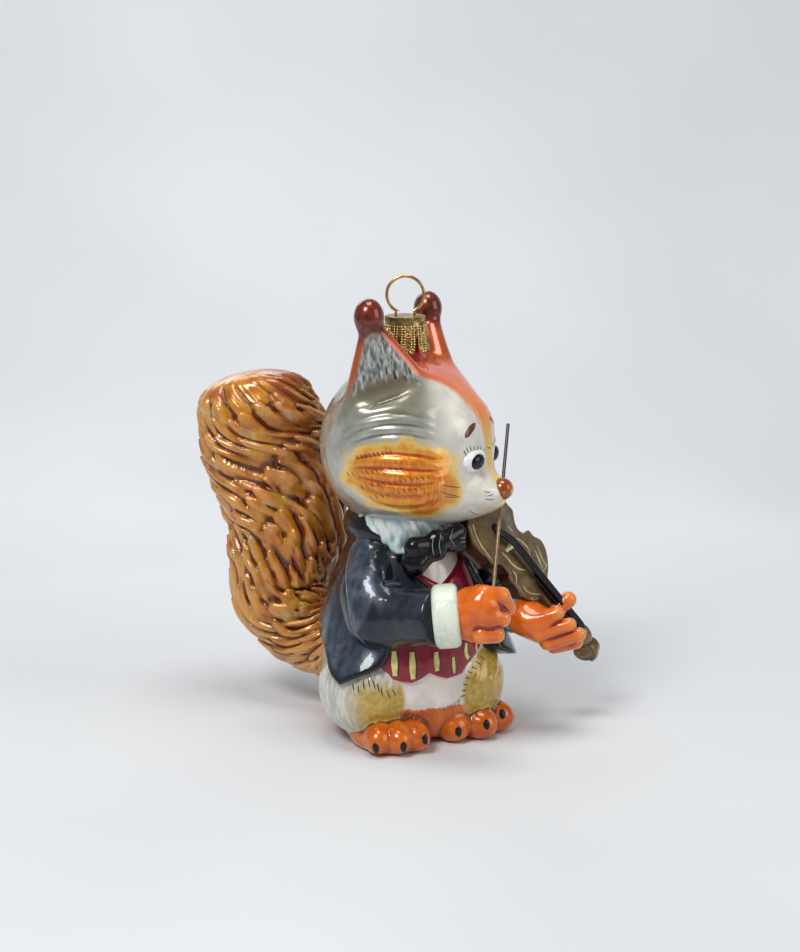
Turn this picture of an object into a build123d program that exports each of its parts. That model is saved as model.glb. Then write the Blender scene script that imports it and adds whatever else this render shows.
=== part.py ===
from build123d import *
import os
from math import cos, radians, sin

# A squirrel fiddler ornament of blown glass, in millimetres. It faces -Y, its left hand is
# on +X, it stands on Z = 0, and the axis of its neck, cap and hanger is the Z axis.
# Shares give a place or a half width as a fraction of the named size that it follows.

# Fits
overrun = 2.0               # how far a cut runs past what it cuts
wire_clearance = 0.08       # hanger legs in the two holes of the cap
cap_clearance = 0.08        # cap over and on the glass neck

# Body bubble
hip_radius = 24.5
hip_height = 15.0
sole_radius = 15.5
shoulder_radius = 14.5
shoulder_height = 56.0
collar_radius = 12.5
collar_rise = 2.0           # of the collar's rim above the shoulders
hips_turn = -6.0            # degrees about Z, towards the right foot

# Legs
thigh_length = 30.0
thigh_radius = 13.0
foot_length = 30.0
foot_width = 20.0
toe_length = 13.0
toe_radius = 4.4
toe_count = 3
toe_fan = 26.0              # degrees from one toe to the next
toes_out = 16.0             # degrees that each foot turns out
claw_length = 3.4
claw_radius = 1.0

# Clothes
waistcoat_thickness = 0.9
waistcoat_turn = -8.0       # degrees
coat_thickness = 2.0
ruff_radius = 17.8
ruff_height = 8.4
tie_wing_length = 10.5
tie_wing_height = 9.0
tie_wing_thickness = 4.4
tie_knot_height = 6.4
tie_knot_width = 5.0
tie_turn = 4.0              # degrees

# Arms
sleeve_radius = 8.2
wrist_radius = 7.6
cuff_radius = 9.0
cuff_length = 8.6
fist_length = 17.0
fist_radius = 7.6
palm_length = 23.0
palm_radius = 6.6
finger_radius = 2.7

# Head
head_radius = 25.0
head_gap = 1.0              # between the collar's rim and the head, inside the ruff
head_turn = 35.0            # degrees, the face looks out over the violin
cheek_length = 30.0
cheek_radius = 10.8
brow_length = 12.0
brow_radius = 5.6
muzzle_length = 24.0
muzzle_radius = 9.9
nose_radius = 3.4
eyeball_radius = 5.5
eye_stand = 0.9             # how far an eye stands out of the head
pupil_ball_radius = 2.6
pupil_stand = 0.4           # how far a pupil stands out of the white
ear_radius = 10.4
ear_waist_radius = 3.8
ear_tip_radius = 4.5
ear_scoop_length = 22.0
ear_scoop_radius = 7.0
ear_turn = 60.0             # degrees from the face to the open side of an ear

# Tail
tail_width = 40.0
tail_thickness = 29.0
tail_height = 101.5
tail_reach = 46.0           # from the Z axis back to the plume's middle line
tail_turn = -30.0           # degrees, the broad side faces this way
lock_count = 10             # locks of fur side by side round the tail
lock_depth = 2.2            # from crest to groove

# Neck, cap and hanger
neck_radius = 5.2
bore_radius = 4.2
neck_rise = 11.6            # of the neck's rim above the head
bore_depth = 26.0
cap_sheet = 0.35
cap_height = 10.2
skirt_radius = 6.8
petal_count = 8
petal_gap = 2.6
petal_length = 7.0
ring_diameter = 11.4        # outside
wire_diameter = 0.9
leg_spacing = 5.2
leg_length = 16.0
hanger_turn = -30.0         # degrees

# Violin and bow
violin_body_length = 37.5
violin_neck_length = 26.5   # from the end of the body to the end of the scroll
lower_bout_width = 21.0
upper_bout_width = 17.6
waist_width = 13.6
violin_depth = 6.4          # over both plates
plate_thickness = 1.2
plate_overhang = 0.7
f_hole_length = 8.0
f_hole_width = 1.0
violin_neck_width = 4.0
violin_neck_depth = 4.4
fingerboard_width = 3.6
fingerboard_thickness = 1.2
bridge_height = 2.6
bridge_width = 6.0
bridge_thickness = 1.0
string_count = 3
string_diameter = 0.7
string_spacing = 1.0
scroll_radius = 3.6
scroll_width = 4.4
bow_diameter = 1.0
bow_length = 62.0

# Heights and lengths that follow
collar_height = shoulder_height + collar_rise
head_height = collar_height + head_gap + head_radius
neck_top = head_height + head_radius + neck_rise
violin_length = violin_body_length + violin_neck_length


def facing(turn, middle=(0, 0, 0)):
    """A plane upright on the ground whose normal faces forward, turned about Z."""
    a = radians(turn)
    return Plane(middle, x_dir=(cos(a), sin(a), 0), z_dir=(sin(a), -cos(a), 0))


def body_place(shares):
    """A place given in hip radii across and forward, and in shoulder heights up."""
    return Vector(shares[0] * hip_radius, shares[1] * hip_radius, shares[2] * shoulder_height)


def head_place(side, front, up, turn=head_turn):
    """A place given in head radii from the head's centre, in the frame of the face."""
    face = facing(turn, (0, 0, head_height))
    return face.from_local_coords((side * head_radius, up * head_radius, front * head_radius))


def along_plane(middle, direction):
    """A plane at a place whose x axis runs along a direction."""
    run = Vector(direction).normalized()
    upright = Vector(0, 0, 1) if abs(run.Z) < cos(radians(20)) else Vector(1, 0, 0)
    return Plane(middle, x_dir=run, z_dir=run.cross(upright))


def spheroid(middle, direction, length, radius, mode=Mode.ADD):
    """A long or flat ball whose own axis runs along a direction."""
    place = along_plane(middle, direction)
    with BuildSketch(place) as half:
        Ellipse(length / 2, radius)
        Rectangle(length, radius, align=(Align.CENTER, Align.MIN), mode=Mode.INTERSECT)
    revolve(half.sketch, axis=Axis(place.origin, place.x_dir), mode=mode)


def limb(start, end, start_radius, end_radius, blunt=False):
    """A tapered limb with ball ends, or with a flat end where it is blunt."""
    place = along_plane(start, Vector(end) - Vector(start))
    run = (Vector(end) - Vector(start)).length
    diagonal = cos(radians(45))
    with BuildSketch(place) as half:
        with BuildLine():
            ThreePointArc(
                (-start_radius, 0),
                (-start_radius * diagonal, start_radius * diagonal),
                (0, start_radius),
            )
            Line((0, start_radius), (run, end_radius))
            if blunt:
                Line((run, end_radius), (run, 0))
                Line((run, 0), (-start_radius, 0))
            else:
                ThreePointArc(
                    (run, end_radius),
                    (run + end_radius * diagonal, end_radius * diagonal),
                    (run + end_radius, 0),
                )
                Line((run + end_radius, 0), (-start_radius, 0))
        make_face()
    revolve(half.sketch, axis=Axis(place.origin, place.x_dir))


def bubble(grow):
    """The pear of the body, revolved about Z, a little larger by the growth."""
    with BuildSketch(Plane.XZ) as half:
        with BuildLine():
            Line((0, 0), (sole_radius + grow, 0))
            TangentArc(
                (hip_radius + grow, hip_height), (sole_radius + grow, 0), tangent=(0, -1)
            )
            waist = TangentArc(
                (hip_radius + grow, hip_height),
                (shoulder_radius + grow, shoulder_height),
                tangent=(0, 1),
            )
            TangentArc(
                (shoulder_radius + grow, shoulder_height),
                (collar_radius + grow, collar_height),
                tangent=waist % 1,
            )
            Line((collar_radius + grow, collar_height), (0, collar_height))
            Line((0, collar_height), (0, 0))
        make_face()
    revolve(half.sketch, axis=Axis.Z)


def remove(*pieces):
    """Takes larger pieces out of the part in hand, so that it meets them face to face."""
    for piece in pieces:
        add(piece.part, mode=Mode.SUBTRACT)


def above_ground():
    """Cuts the part in hand flat where it stands."""
    with BuildSketch(Plane.XY) as ground:
        Rectangle(hip_radius * 6, hip_radius * 6)
    extrude(ground.sketch, amount=-hip_radius * 2, mode=Mode.SUBTRACT)


# Body bubble
with BuildPart() as torso:
    bubble(0)

# Head with its cheeks and brows, and the bore of the neck running on into it
cheek_shares = (0.58, 0.22, -0.29)
brow_shares = (0.27, 0.73, 0.24)
with BuildPart() as head:
    with Locations((0, 0, head_height)):
        Sphere(head_radius)
    for side in (-1, 1):
        x, y, z = cheek_shares
        spheroid(head_place(side * x, y, z), facing(head_turn).z_dir, cheek_length, cheek_radius)
        x, y, z = brow_shares
        spheroid(head_place(side * x, y, z), facing(head_turn).x_dir, brow_length, brow_radius)
    with BuildSketch(Plane.XY.offset(neck_top - bore_depth)):
        Circle(bore_radius)
    extrude(amount=bore_depth, mode=Mode.SUBTRACT)
    remove(torso)

# Glass neck that carries the cap
with BuildPart() as neck:
    with BuildSketch(Plane.XY.offset(head_height)):
        Circle(neck_radius)
        Circle(bore_radius, mode=Mode.SUBTRACT)
    extrude(amount=neck_top - head_height)
    remove(head)
    with BuildSketch(Plane.XY.offset(head_height)):
        Circle(neck_radius + overrun)
    extrude(amount=head_radius * 2 / 3, mode=Mode.SUBTRACT)

# Muzzle and nose
muzzle_shares = (0, 0.70, -0.42)
nose_shares = (0, 1.235, -0.41)
muzzle_slope = Vector(0, 0, -0.12)
with BuildPart() as muzzle:
    snout = facing(head_turn).z_dir + muzzle_slope
    spheroid(head_place(*muzzle_shares), snout, muzzle_length, muzzle_radius)
    remove(head)
with BuildPart() as nose:
    with Locations(head_place(*nose_shares)):
        Sphere(nose_radius)
    remove(muzzle)

# Eyes: a white dome and a black bead on it, at each side of the face
eye_bearing = 14.0          # degrees from the middle of the face
eye_rise = -6.0             # degrees below the level of the head's centre


def eye_look(side):
    """The direction from the head's centre out through one eye."""
    level = facing(head_turn + side * eye_bearing).z_dir
    return level * cos(radians(eye_rise)) + Vector(0, 0, sin(radians(eye_rise)))


def eye_balls(radius, stand, mode=Mode.ADD):
    """Two balls sunk in the head, that stand out of it by the same amount."""
    for side in (-1, 1):
        reach = head_radius + stand - radius
        with Locations(Vector(0, 0, head_height) + eye_look(side) * reach):
            Sphere(radius, mode=mode)


with BuildPart() as eye_whites:
    eye_balls(eyeball_radius, eye_stand)
    remove(head, muzzle)
with BuildPart() as pupils:
    eye_balls(pupil_ball_radius, eye_stand + pupil_stand)
    eye_balls(eyeball_radius, eye_stand, mode=Mode.SUBTRACT)

# Ears: a cone drawn in to a waist below a ball tip, scooped out on its open side
ear_foot_shares = (0.52, -0.04, 0.52)
ear_tip_shares = (0.77, -0.1, 1.53)
ear_hollow_share = 0.06     # how far the sides of an ear curve in
ear_scoop_shares = (0.42, 0.95)
ears = {}
for side, name in ((-1, "ear_right"), (1, "ear_left")):
    foot = head_place(side * ear_foot_shares[0], *ear_foot_shares[1:])
    tip = head_place(side * ear_tip_shares[0], *ear_tip_shares[1:])
    rise = (tip - foot).normalized()
    length = (tip - foot).length
    with BuildPart() as ear:
        with BuildSketch(along_plane(foot, rise)) as outline:
            with BuildLine():
                Line((0, 0), (0, ear_radius))
                waist = length - (ear_tip_radius**2 - ear_waist_radius**2) ** 0.5
                middle = (ear_radius + ear_waist_radius) / 2 - ear_radius * ear_hollow_share
                ThreePointArc((0, ear_radius), (waist / 2, middle), (waist, ear_waist_radius))
                summit = length + ear_tip_radius
                ThreePointArc((waist, ear_waist_radius), (length, ear_tip_radius), (summit, 0))
                Line((summit, 0), (0, 0))
            make_face()
        revolve(axis=Axis(foot, rise))
        open_side = facing(head_turn + side * ear_turn).z_dir
        scoop = foot + rise * length * ear_scoop_shares[0]
        scoop += open_side * ear_radius * ear_scoop_shares[1]
        spheroid(scoop, rise, ear_scoop_length, ear_scoop_radius, mode=Mode.SUBTRACT)
        with BuildSketch(Plane.XY.offset(head_height)):
            Circle(neck_radius)
        extrude(amount=neck_top - head_height, mode=Mode.SUBTRACT)
        remove(head)
    ears[name] = ear

# Thighs
thigh_shares = (0.62, -0.3, 0.262)
thighs = {}
hips = facing(hips_turn)


def hip_place(side, shares):
    """A place on one side in the frame of the hips, with shares as for the body."""
    across, front, up = shares
    return hips.from_local_coords(
        (side * across * hip_radius, up * shoulder_height, -front * hip_radius)
    )


for side, name in ((-1, "thigh_right"), (1, "thigh_left")):
    with BuildPart() as thigh:
        spheroid(hip_place(side, thigh_shares), hips.z_dir, thigh_length, thigh_radius)
        remove(torso)
    thighs[name] = thigh

# Feet with their toes, and the claws at the toes' ends
foot_shares = (0.48, -0.45, 0)
toe_root_share = 0.135      # of the foot's length, from its middle to where the toes fan out
toe_sunk_share = 0.45       # of a toe's length, inside the foot's outline
toe_rise_share = 0.9
claw_sunk_share = 0.45
claw_drop_share = 0.25
claw_tip_share = 0.3
claw_slope = Vector(0, 0, -0.5)
feet = {}
claw_rows = []
for side, name in ((-1, "foot_right"), (1, "foot_left")):
    middle = hip_place(side, foot_shares)
    with BuildPart() as foot:
        toward = facing(hips_turn + side * toes_out).z_dir
        spheroid(middle, toward, foot_length, foot_width / 2)
        for k in range(toe_count):
            turn = hips_turn + side * toes_out + (k - (toe_count - 1) / 2) * toe_fan
            ray = facing(turn).z_dir
            root = middle + toward * foot_length * toe_root_share
            reach = foot_length * (0.5 - toe_root_share) - toe_length * toe_sunk_share
            toe = root + ray * reach + Vector(0, 0, toe_radius * toe_rise_share)
            spheroid(toe, ray, toe_length, toe_radius)
            nail = toe + ray * (toe_length / 2 - claw_length * claw_sunk_share)
            nail -= Vector(0, 0, toe_radius * claw_drop_share)
            claw_rows.append((nail, ray + claw_slope))
        above_ground()
        remove(torso, *thighs.values(), *feet.values())
    feet[name] = foot
with BuildPart() as claws:
    for nail, ray in claw_rows:
        with Locations(Plane(nail, z_dir=ray)):
            Cone(claw_radius, claw_radius * claw_tip_share, claw_length)
    above_ground()
    remove(*feet.values())

# Waistcoat: a band over the front of the bubble, with a V neck and a pointed hem
waistcoat_shares = [
    (-0.70, 0.41), (-0.41, 0.345), (-0.22, 0.40), (0, 0.345), (0.30, 0.42), (0.62, 0.56),
    (0.52, 0.93), (0.36, 0.99), (0.12, 0.84), (-0.20, 0.99), (-0.40, 0.95), (-0.66, 0.60),
]
with BuildPart() as waistcoat:
    bubble(waistcoat_thickness)
    with BuildSketch(facing(waistcoat_turn)):
        with BuildLine():
            corners = [(x * hip_radius, z * shoulder_height) for x, z in waistcoat_shares]
            Polyline(*corners, close=True)
        make_face()
    extrude(amount=hip_radius * 2, mode=Mode.INTERSECT)
    remove(torso, *thighs.values())

# Coat: a shell round the bubble, open in front, with two hanging skirts and a high back
coat_front_shares = [
    (0, 1.2), (-0.34, 1.0), (-0.36, 0.72), (-0.62, 0.53), (-0.99, 0.35), (-1.3, 0.30),
    (-1.3, -0.2), (1.3, -0.2), (1.3, 0.38), (0.99, 0.40), (0.66, 0.53), (0.44, 0.72),
    (0.42, 1.0),
]
skirt_low_share = 0.35      # of the shoulder height, where the skirts end
coat_back_shares = [
    (0.36, 0.35), (-0.18, 0.60), (-1.3, 0.66), (-1.3, -0.2), (0.36, -0.2),
]
with BuildPart() as coat:
    bubble(coat_thickness)
    with BuildSketch(Plane.XY):
        Circle(hip_radius * 2)
    extrude(amount=skirt_low_share * shoulder_height, mode=Mode.SUBTRACT)
    with BuildSketch(facing(0)):
        with BuildLine():
            corners = [(x * hip_radius, z * shoulder_height) for x, z in coat_front_shares]
            Polyline(*corners, close=True)
        make_face()
    extrude(amount=hip_radius * 2, mode=Mode.SUBTRACT)
    with BuildSketch(Plane.YZ.offset(-hip_radius * 2)):
        with BuildLine():
            corners = [(-y * hip_radius, z * shoulder_height) for y, z in coat_back_shares]
            Polyline(*corners, close=True)
        make_face()
    extrude(amount=hip_radius * 4, mode=Mode.SUBTRACT)
    remove(torso, waistcoat, *thighs.values())

# Fur ruff between the coat and the head, as shares of its radius and of its height
ruff_foot_shares, ruff_side_shares, ruff_top_shares = (0.76, 0), (1, 0.5), (0.86, 1)
with BuildPart() as ruff:
    with BuildSketch(Plane.XZ):
        with BuildLine():
            foot, way, top = [
                (x * ruff_radius, collar_height + z * ruff_height)
                for x, z in (ruff_foot_shares, ruff_side_shares, ruff_top_shares)
            ]
            ThreePointArc(foot, way, top)
            Polyline(top, (0, top[1]), (0, foot[1]), foot)
        make_face()
    revolve(axis=Axis.Z)
    remove(head, muzzle)

# Bow tie
tie_shares = (0.01, -0.80, 1.03)
wing_slope = Vector(0, 0, -0.35)
wing_wrap_share = 0.25
wing_root_share = 0.45      # height of a wing at the knot, to that at its end
wing_round_share = 0.4
tie_face = facing(tie_turn)
knot_place = body_place(tie_shares)
with BuildPart() as tie_knot:
    spheroid(knot_place, (0, 0, 1), tie_knot_height, tie_knot_width / 2)
    remove(head, ruff, coat, torso)
with BuildPart() as tie_wings:
    for side in (-1, 1):
        run = tie_face.x_dir * side + wing_slope - tie_face.z_dir * wing_wrap_share
        run = run.normalized()
        upright = tie_face.z_dir.cross(run)
        for reach, height_share in ((0, wing_root_share), (tie_wing_length, 1)):
            with BuildSketch(Plane(knot_place + run * reach, x_dir=upright, z_dir=run)):
                RectangleRounded(
                    tie_wing_height * height_share,
                    tie_wing_thickness,
                    tie_wing_thickness * wing_round_share,
                )
        loft()
    remove(tie_knot, head, ruff, coat, torso, waistcoat, muzzle)

# Violin: its own plane has x from chin to scroll, y across and z out of the top plate
violin_chin_shares = (0.47, -0.70, 1.22)
violin_run = Vector(0.650, -0.071, -0.757)
violin_top_normal = Vector(0.389, -0.824, 0.412)
violin_plane = Plane(body_place(violin_chin_shares), x_dir=violin_run, z_dir=violin_top_normal)


# Arcs of half the outline: a point on the way and the end, each as a share of the body's
# length, a share of a half width, and which width that is
outline_shares = [
    ((0.07, 0.72, "lower"), (0.23, 1, "lower")),
    ((0.34, 0.91, "lower"), (0.42, 0.93, "lower")),
    ((0.52, 1, "waist"), (0.63, 1, "upper")),
    ((0.70, 0.94, "upper"), (0.79, 1, "upper")),
    ((0.94, 0.72, "upper"), (1, 0, "upper")),
]
half_widths = {"lower": lower_bout_width / 2, "waist": waist_width / 2, "upper": upper_bout_width / 2}


def violin_outline(inset):
    """The outline of a violin: two bouts, a waist and four corners."""
    with BuildLine() as edge:
        start = (inset, 0)
        for row in outline_shares:
            way, end = [
                (x * violin_body_length, y * (half_widths[width] - inset)) for x, y, width in row
            ]
            end = (min(end[0], violin_body_length - inset), end[1])
            ThreePointArc(start, way, end)
            start = end
        mirror(about=Plane.XZ)
    make_face(edge.line.edges())


def along_neck(share):
    """How far from the chin end a share of the neck's length past the body lies."""
    return violin_body_length + share * violin_neck_length


f_hole_shares = (0.52, 0.3)
f_hole_turn = 12.0          # degrees
with BuildPart() as violin_body:
    with BuildSketch(violin_plane.offset(-violin_depth)):
        violin_outline(0)
    extrude(amount=plate_thickness)
    with BuildSketch(violin_plane.offset(-violin_depth + plate_thickness)):
        violin_outline(plate_overhang)
    extrude(amount=violin_depth - 2 * plate_thickness)
    with BuildSketch(violin_plane.offset(-plate_thickness)):
        violin_outline(0)
    extrude(amount=plate_thickness)
    with BuildSketch(violin_plane):
        for side in (-1, 1):
            spot = (f_hole_shares[0] * violin_body_length, side * f_hole_shares[1] * waist_width)
            with Locations(spot):
                SlotOverall(f_hole_length, f_hole_width, rotation=side * f_hole_turn)
    extrude(amount=-plate_thickness / 2, mode=Mode.SUBTRACT)
    remove(head, muzzle, ruff, torso, coat, waistcoat, tie_wings, tie_knot)

# Neck and fingerboard of the violin
neck_start = violin_body_length * 0.97
neck_end_share = 0.76       # of the neck's length, past the body
board_start = violin_body_length * 0.8
board_end_share = 0.61
with BuildPart() as violin_neck:
    with BuildSketch(violin_plane.offset(-violin_neck_depth)):
        with Locations((neck_start, 0)):
            Rectangle(
                along_neck(neck_end_share) - neck_start,
                violin_neck_width,
                align=(Align.MIN, Align.CENTER),
            )
    extrude(amount=violin_neck_depth)
    remove(violin_body)
with BuildPart() as fingerboard:
    with BuildSketch(violin_plane):
        with Locations((board_start, 0)):
            Rectangle(
                along_neck(board_end_share) - board_start,
                fingerboard_width,
                align=(Align.MIN, Align.CENTER),
            )
    extrude(amount=fingerboard_thickness)

# Scroll: a drum on its side, hollowed round a lower eye at each end
scroll_eye_share = 0.5
scroll_sunk_share = 0.72
with BuildPart() as scroll:
    scroll_middle = violin_plane.from_local_coords(
        (violin_length - scroll_radius, 0, -violin_neck_depth / 2)
    )
    scroll_side = Plane(scroll_middle, x_dir=violin_plane.x_dir, z_dir=violin_plane.y_dir)
    with BuildSketch(scroll_side):
        Circle(scroll_radius)
        Circle(scroll_radius * scroll_eye_share, mode=Mode.SUBTRACT)
    extrude(amount=scroll_width / 2, both=True)
    with BuildSketch(scroll_side):
        Circle(scroll_radius * scroll_eye_share)
    extrude(amount=scroll_width / 2 * scroll_sunk_share, both=True)
    remove(violin_neck)

# Bridge, with the strings over it
bridge_share = 0.48
crown_share = 0.6           # width of the bridge's crown, to that at its feet
bridge_middle = violin_plane.from_local_coords((violin_body_length * bridge_share, 0, 0))
with BuildPart() as bridge:
    with BuildSketch(Plane(bridge_middle, x_dir=violin_plane.y_dir, z_dir=violin_plane.x_dir)):
        with BuildLine():
            foot_x = bridge_width / 2
            crown_x = foot_x * crown_share
            Polyline(
                (-foot_x, 0), (foot_x, 0), (crown_x, bridge_height), (-crown_x, bridge_height),
                close=True,
            )
        make_face()
    extrude(amount=bridge_thickness / 2, both=True)
string_start_share = 0.27
string_end_share = 0.59
string_radius = string_diameter / 2
with BuildPart() as strings:
    for k in range(string_count):
        y = (k - (string_count - 1) / 2) * string_spacing
        start, crest, end = [
            violin_plane.from_local_coords((x, y, z)) for x, z in (
                (violin_body_length * string_start_share, string_radius),
                (violin_body_length * bridge_share, bridge_height),
                (along_neck(string_end_share), fingerboard_thickness + string_radius),
            )
        ]
        with BuildLine():
            Polyline(start, crest, end)
        with BuildSketch(Plane(start, z_dir=crest - start)):
            Circle(string_radius)
        sweep(transition=Transition.RIGHT)
    remove(violin_body, bridge, fingerboard)

# Sleeves, cuffs and hands
shoulder_shares = (0.59, -0.12, 0.965)
elbow_right_shares = (-0.776, -0.49, 0.668)
fist_shares = (0.049, -1.633, 0.773)
elbow_left_shares = (0.776, -0.204, 0.696)
palm_shares = (0.121, -1.577, -0.147)   # by the violin's neck
cuff_start_share = 0.56


def neck_place(shares, step=0):
    """A place by the violin's neck: in its lengths along it, in the violin's depths across
    and up, and with steps along it."""
    along, across, up = shares
    return violin_plane.from_local_coords(
        (along_neck(along + step), across * violin_depth, up * violin_depth)
    )


left_wrist_share = 0.85     # of the right one, nearer and larger
left_cuff_share = 0.8
clothes = (torso, coat, waistcoat, ruff, tie_wings, tie_knot, head, muzzle)
fiddle = (violin_body, violin_neck, fingerboard, scroll, strings, bridge)

arms = {}
cuffs = {}
fist = body_place(fist_shares)
palm = neck_place(palm_shares)
for side, elbow_shares, hand, cuff_share, wrist_share, name in (
    (-1, elbow_right_shares, fist, 1, 1, "right"),
    (1, elbow_left_shares, palm, left_cuff_share, left_wrist_share, "left"),
):
    shoulder = body_place((side * shoulder_shares[0], shoulder_shares[1], shoulder_shares[2]))
    elbow = body_place(elbow_shares)
    cuff_start = elbow + (hand - elbow) * cuff_start_share
    with BuildPart() as cuff:
        with BuildSketch(Plane(cuff_start, z_dir=(hand - elbow).normalized())):
            Circle(cuff_radius * cuff_share)
        extrude(amount=cuff_length * cuff_share)
        remove(*clothes, *fiddle)
    with BuildPart() as sleeve:
        limb(shoulder, elbow, sleeve_radius, sleeve_radius)
        limb(elbow, cuff_start, sleeve_radius, wrist_radius * wrist_share, blunt=True)
        remove(cuff, *clothes, *fiddle, *thighs.values())
    cuffs[name] = cuff
    arms[name] = sleeve

# Bow stick, from the right fist up past the nose
bow_foot_shares = (0.14, -1.69, 0.80)
bow_head_shares = (0.835, 0.935, 0.129)
bow_foot = body_place(bow_foot_shares)
bow_run = (head_place(*bow_head_shares) - bow_foot).normalized()
with BuildPart() as bow:
    with BuildSketch(Plane(bow_foot, z_dir=bow_run)):
        Circle(bow_diameter / 2)
    extrude(amount=bow_length)

# Fist round the bow stick, its fingers in a row down the front
fist_slope = Vector(0.35, -0.5, 0.9)
finger_slope = Vector(0.8, 0.5, -0.2)
finger_count = 3
finger_length_share = 1.7   # of a finger's width
knuckle_shares = (0.55, -0.29, 0.60)
with BuildPart() as hand_right:
    spheroid(fist, fist_slope, fist_length, fist_radius)
    for k in range(finger_count):
        x, y, z = knuckle_shares
        knuckle = fist + Vector(x, y, z * (1 - k)) * fist_radius
        spheroid(knuckle, finger_slope, finger_radius * 2 * finger_length_share, finger_radius)
    remove(bow, cuffs["right"], arms["right"], *clothes, *fiddle)

# Left hand, its fingers from one side and its thumb from the other round the violin's neck
palm_slope = Vector(0, 0, 0.25)
finger_step_share = 0.181
finger_root_shares = (0.034, -1.33, -0.16)
finger_tip_shares = (0.082, -0.50, 0.41)
thumb_root_shares = (0.131, -0.62, -0.94)
thumb_tip_shares = (0.179, 0.78, -0.16)
finger_taper = 0.85
with BuildPart() as hand_left:
    spheroid(palm, violin_run + palm_slope, palm_length, palm_radius)
    for k in range(finger_count):
        step = finger_step_share * k
        root = neck_place(finger_root_shares, step)
        tip = neck_place(finger_tip_shares, step)
        limb(root, tip, finger_radius, finger_radius * finger_taper)
    thumb = neck_place(thumb_root_shares)
    limb(thumb, neck_place(thumb_tip_shares), finger_radius, finger_radius * finger_taper)
    remove(*fiddle, cuffs["left"], arms["left"])

# Tail: a plume that leaves the hips at the back, bends up and swells, with wavy locks of fur
# side by side round it. Each row places its middle line across, back and up, gives its width,
# its thickness and how deep the locks are there, and turns them by some degrees
tail_shares = [
    (-0.04, 0.26, 0.24, 0.45, 0.60, 0.3, 0),
    (-0.20, 0.57, 0.185, 0.62, 0.72, 0.7, 4),
    (-0.35, 0.775, 0.225, 0.73, 0.84, 1, 12),
    (-0.42, 0.90, 0.33, 0.78, 0.92, 1, 20),
    (-0.43, 0.94, 0.44, 0.81, 0.96, 1, 16),
    (-0.415, 0.95, 0.55, 0.86, 0.99, 1, 24),
    (-0.41, 0.965, 0.66, 0.92, 1.0, 1, 34),
    (-0.44, 0.99, 0.77, 0.99, 0.99, 1, 32),
    (-0.465, 1.0, 0.87, 0.96, 0.93, 1, 42),
    (-0.48, 1.0, 0.95, 0.76, 0.75, 1, 52),
    (-0.47, 0.98, 1.0, 0.34, 0.36, 0.5, 60),
]
tail_line = [
    Vector(x * tail_reach, y * tail_reach, z * tail_height) for x, y, z, *_ in tail_shares
]


def lock_spot(row, step, lift):
    """A place on the outline of one row of the tail, a step of locks round it."""
    *_, width_share, thickness_share, _, turn = row
    a = radians(360 * step / lock_count + turn)
    across = tail_width / 2 * width_share + lift
    return across * cos(a), (tail_thickness / 2 * thickness_share + lift) * sin(a)


with BuildPart() as tail:
    for k, row in enumerate(tail_shares):
        before = tail_line[max(k - 1, 0)]
        after = tail_line[min(k + 1, len(tail_line) - 1)]
        run = (after - before).normalized()
        broad = facing(tail_turn).x_dir
        broad = (broad - run * run.dot(broad)).normalized()
        lift = lock_depth / 2 * row[5]
        with BuildSketch(Plane(tail_line[k], x_dir=broad, z_dir=run)):
            with BuildLine():
                for j in range(lock_count):
                    groove = lock_spot(row, j, -lift)
                    crest = lock_spot(row, j + 0.5, lift)
                    ThreePointArc(groove, crest, lock_spot(row, j + 1, -lift))
            make_face()
    loft(ruled=True)
    remove(torso, head, coat, *thighs.values(), *feet.values())

# Cap: a thin stamped cup over the neck, its skirt cut into petals, with two holes on top
cap_top = neck_top + cap_clearance + cap_sheet
leg_side = facing(hanger_turn).x_dir * (leg_spacing / 2)
with BuildPart() as cap:
    inner = neck_radius + cap_clearance
    low = cap_top - cap_height
    with BuildSketch(Plane.XZ):
        with BuildLine():
            Polyline(
                (0, cap_top), (inner + cap_sheet, cap_top), (skirt_radius, low),
                (skirt_radius - cap_sheet, low), (inner, cap_top - cap_sheet),
                (0, cap_top - cap_sheet), close=True,
            )
        make_face()
    revolve(axis=Axis.Z)
    for k in range(petal_count):
        with BuildSketch(facing(360 * (k + 0.5) / petal_count)):
            with BuildLine():
                gap = petal_gap / 2
                Polyline((-gap, low), (0, low + petal_length), (gap, low), close=True)
            make_face()
        extrude(amount=skirt_radius * 2, mode=Mode.SUBTRACT)
    with BuildSketch(Plane.XY.offset(cap_top)):
        with Locations(leg_side, -leg_side):
            Circle(wire_diameter / 2 + wire_clearance)
    extrude(amount=-cap_sheet - overrun, mode=Mode.SUBTRACT)

# Hanger: a wire ring whose two ends run down through the cap into the neck's bore
ring_rise_share = 0.75      # of the wire, between the cap and the ring
with BuildPart() as hanger:
    ring_radius = (ring_diameter - wire_diameter) / 2
    ring_middle = Vector(0, 0, cap_top + ring_radius + wire_diameter * ring_rise_share)
    drop = (ring_radius**2 - (leg_spacing / 2) ** 2) ** 0.5
    flat = facing(hanger_turn, ring_middle)
    with BuildSketch(Plane(ring_middle, x_dir=flat.x_dir, z_dir=flat.y_dir)):
        with Locations((ring_radius, 0)):
            Circle(wire_diameter / 2)
    revolve(axis=Axis(ring_middle, flat.z_dir))
    for side in (-1, 1):
        joint = ring_middle + leg_side * side - Vector(0, 0, drop)
        limb(joint, joint - Vector(0, 0, leg_length), wire_diameter / 2, wire_diameter / 2)
    with BuildSketch(Plane(ring_middle - Vector(0, 0, drop), z_dir=(0, 0, -1))):
        Rectangle(leg_spacing - wire_diameter, leg_spacing - wire_diameter)
    extrude(amount=ring_radius, mode=Mode.SUBTRACT)

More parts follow.
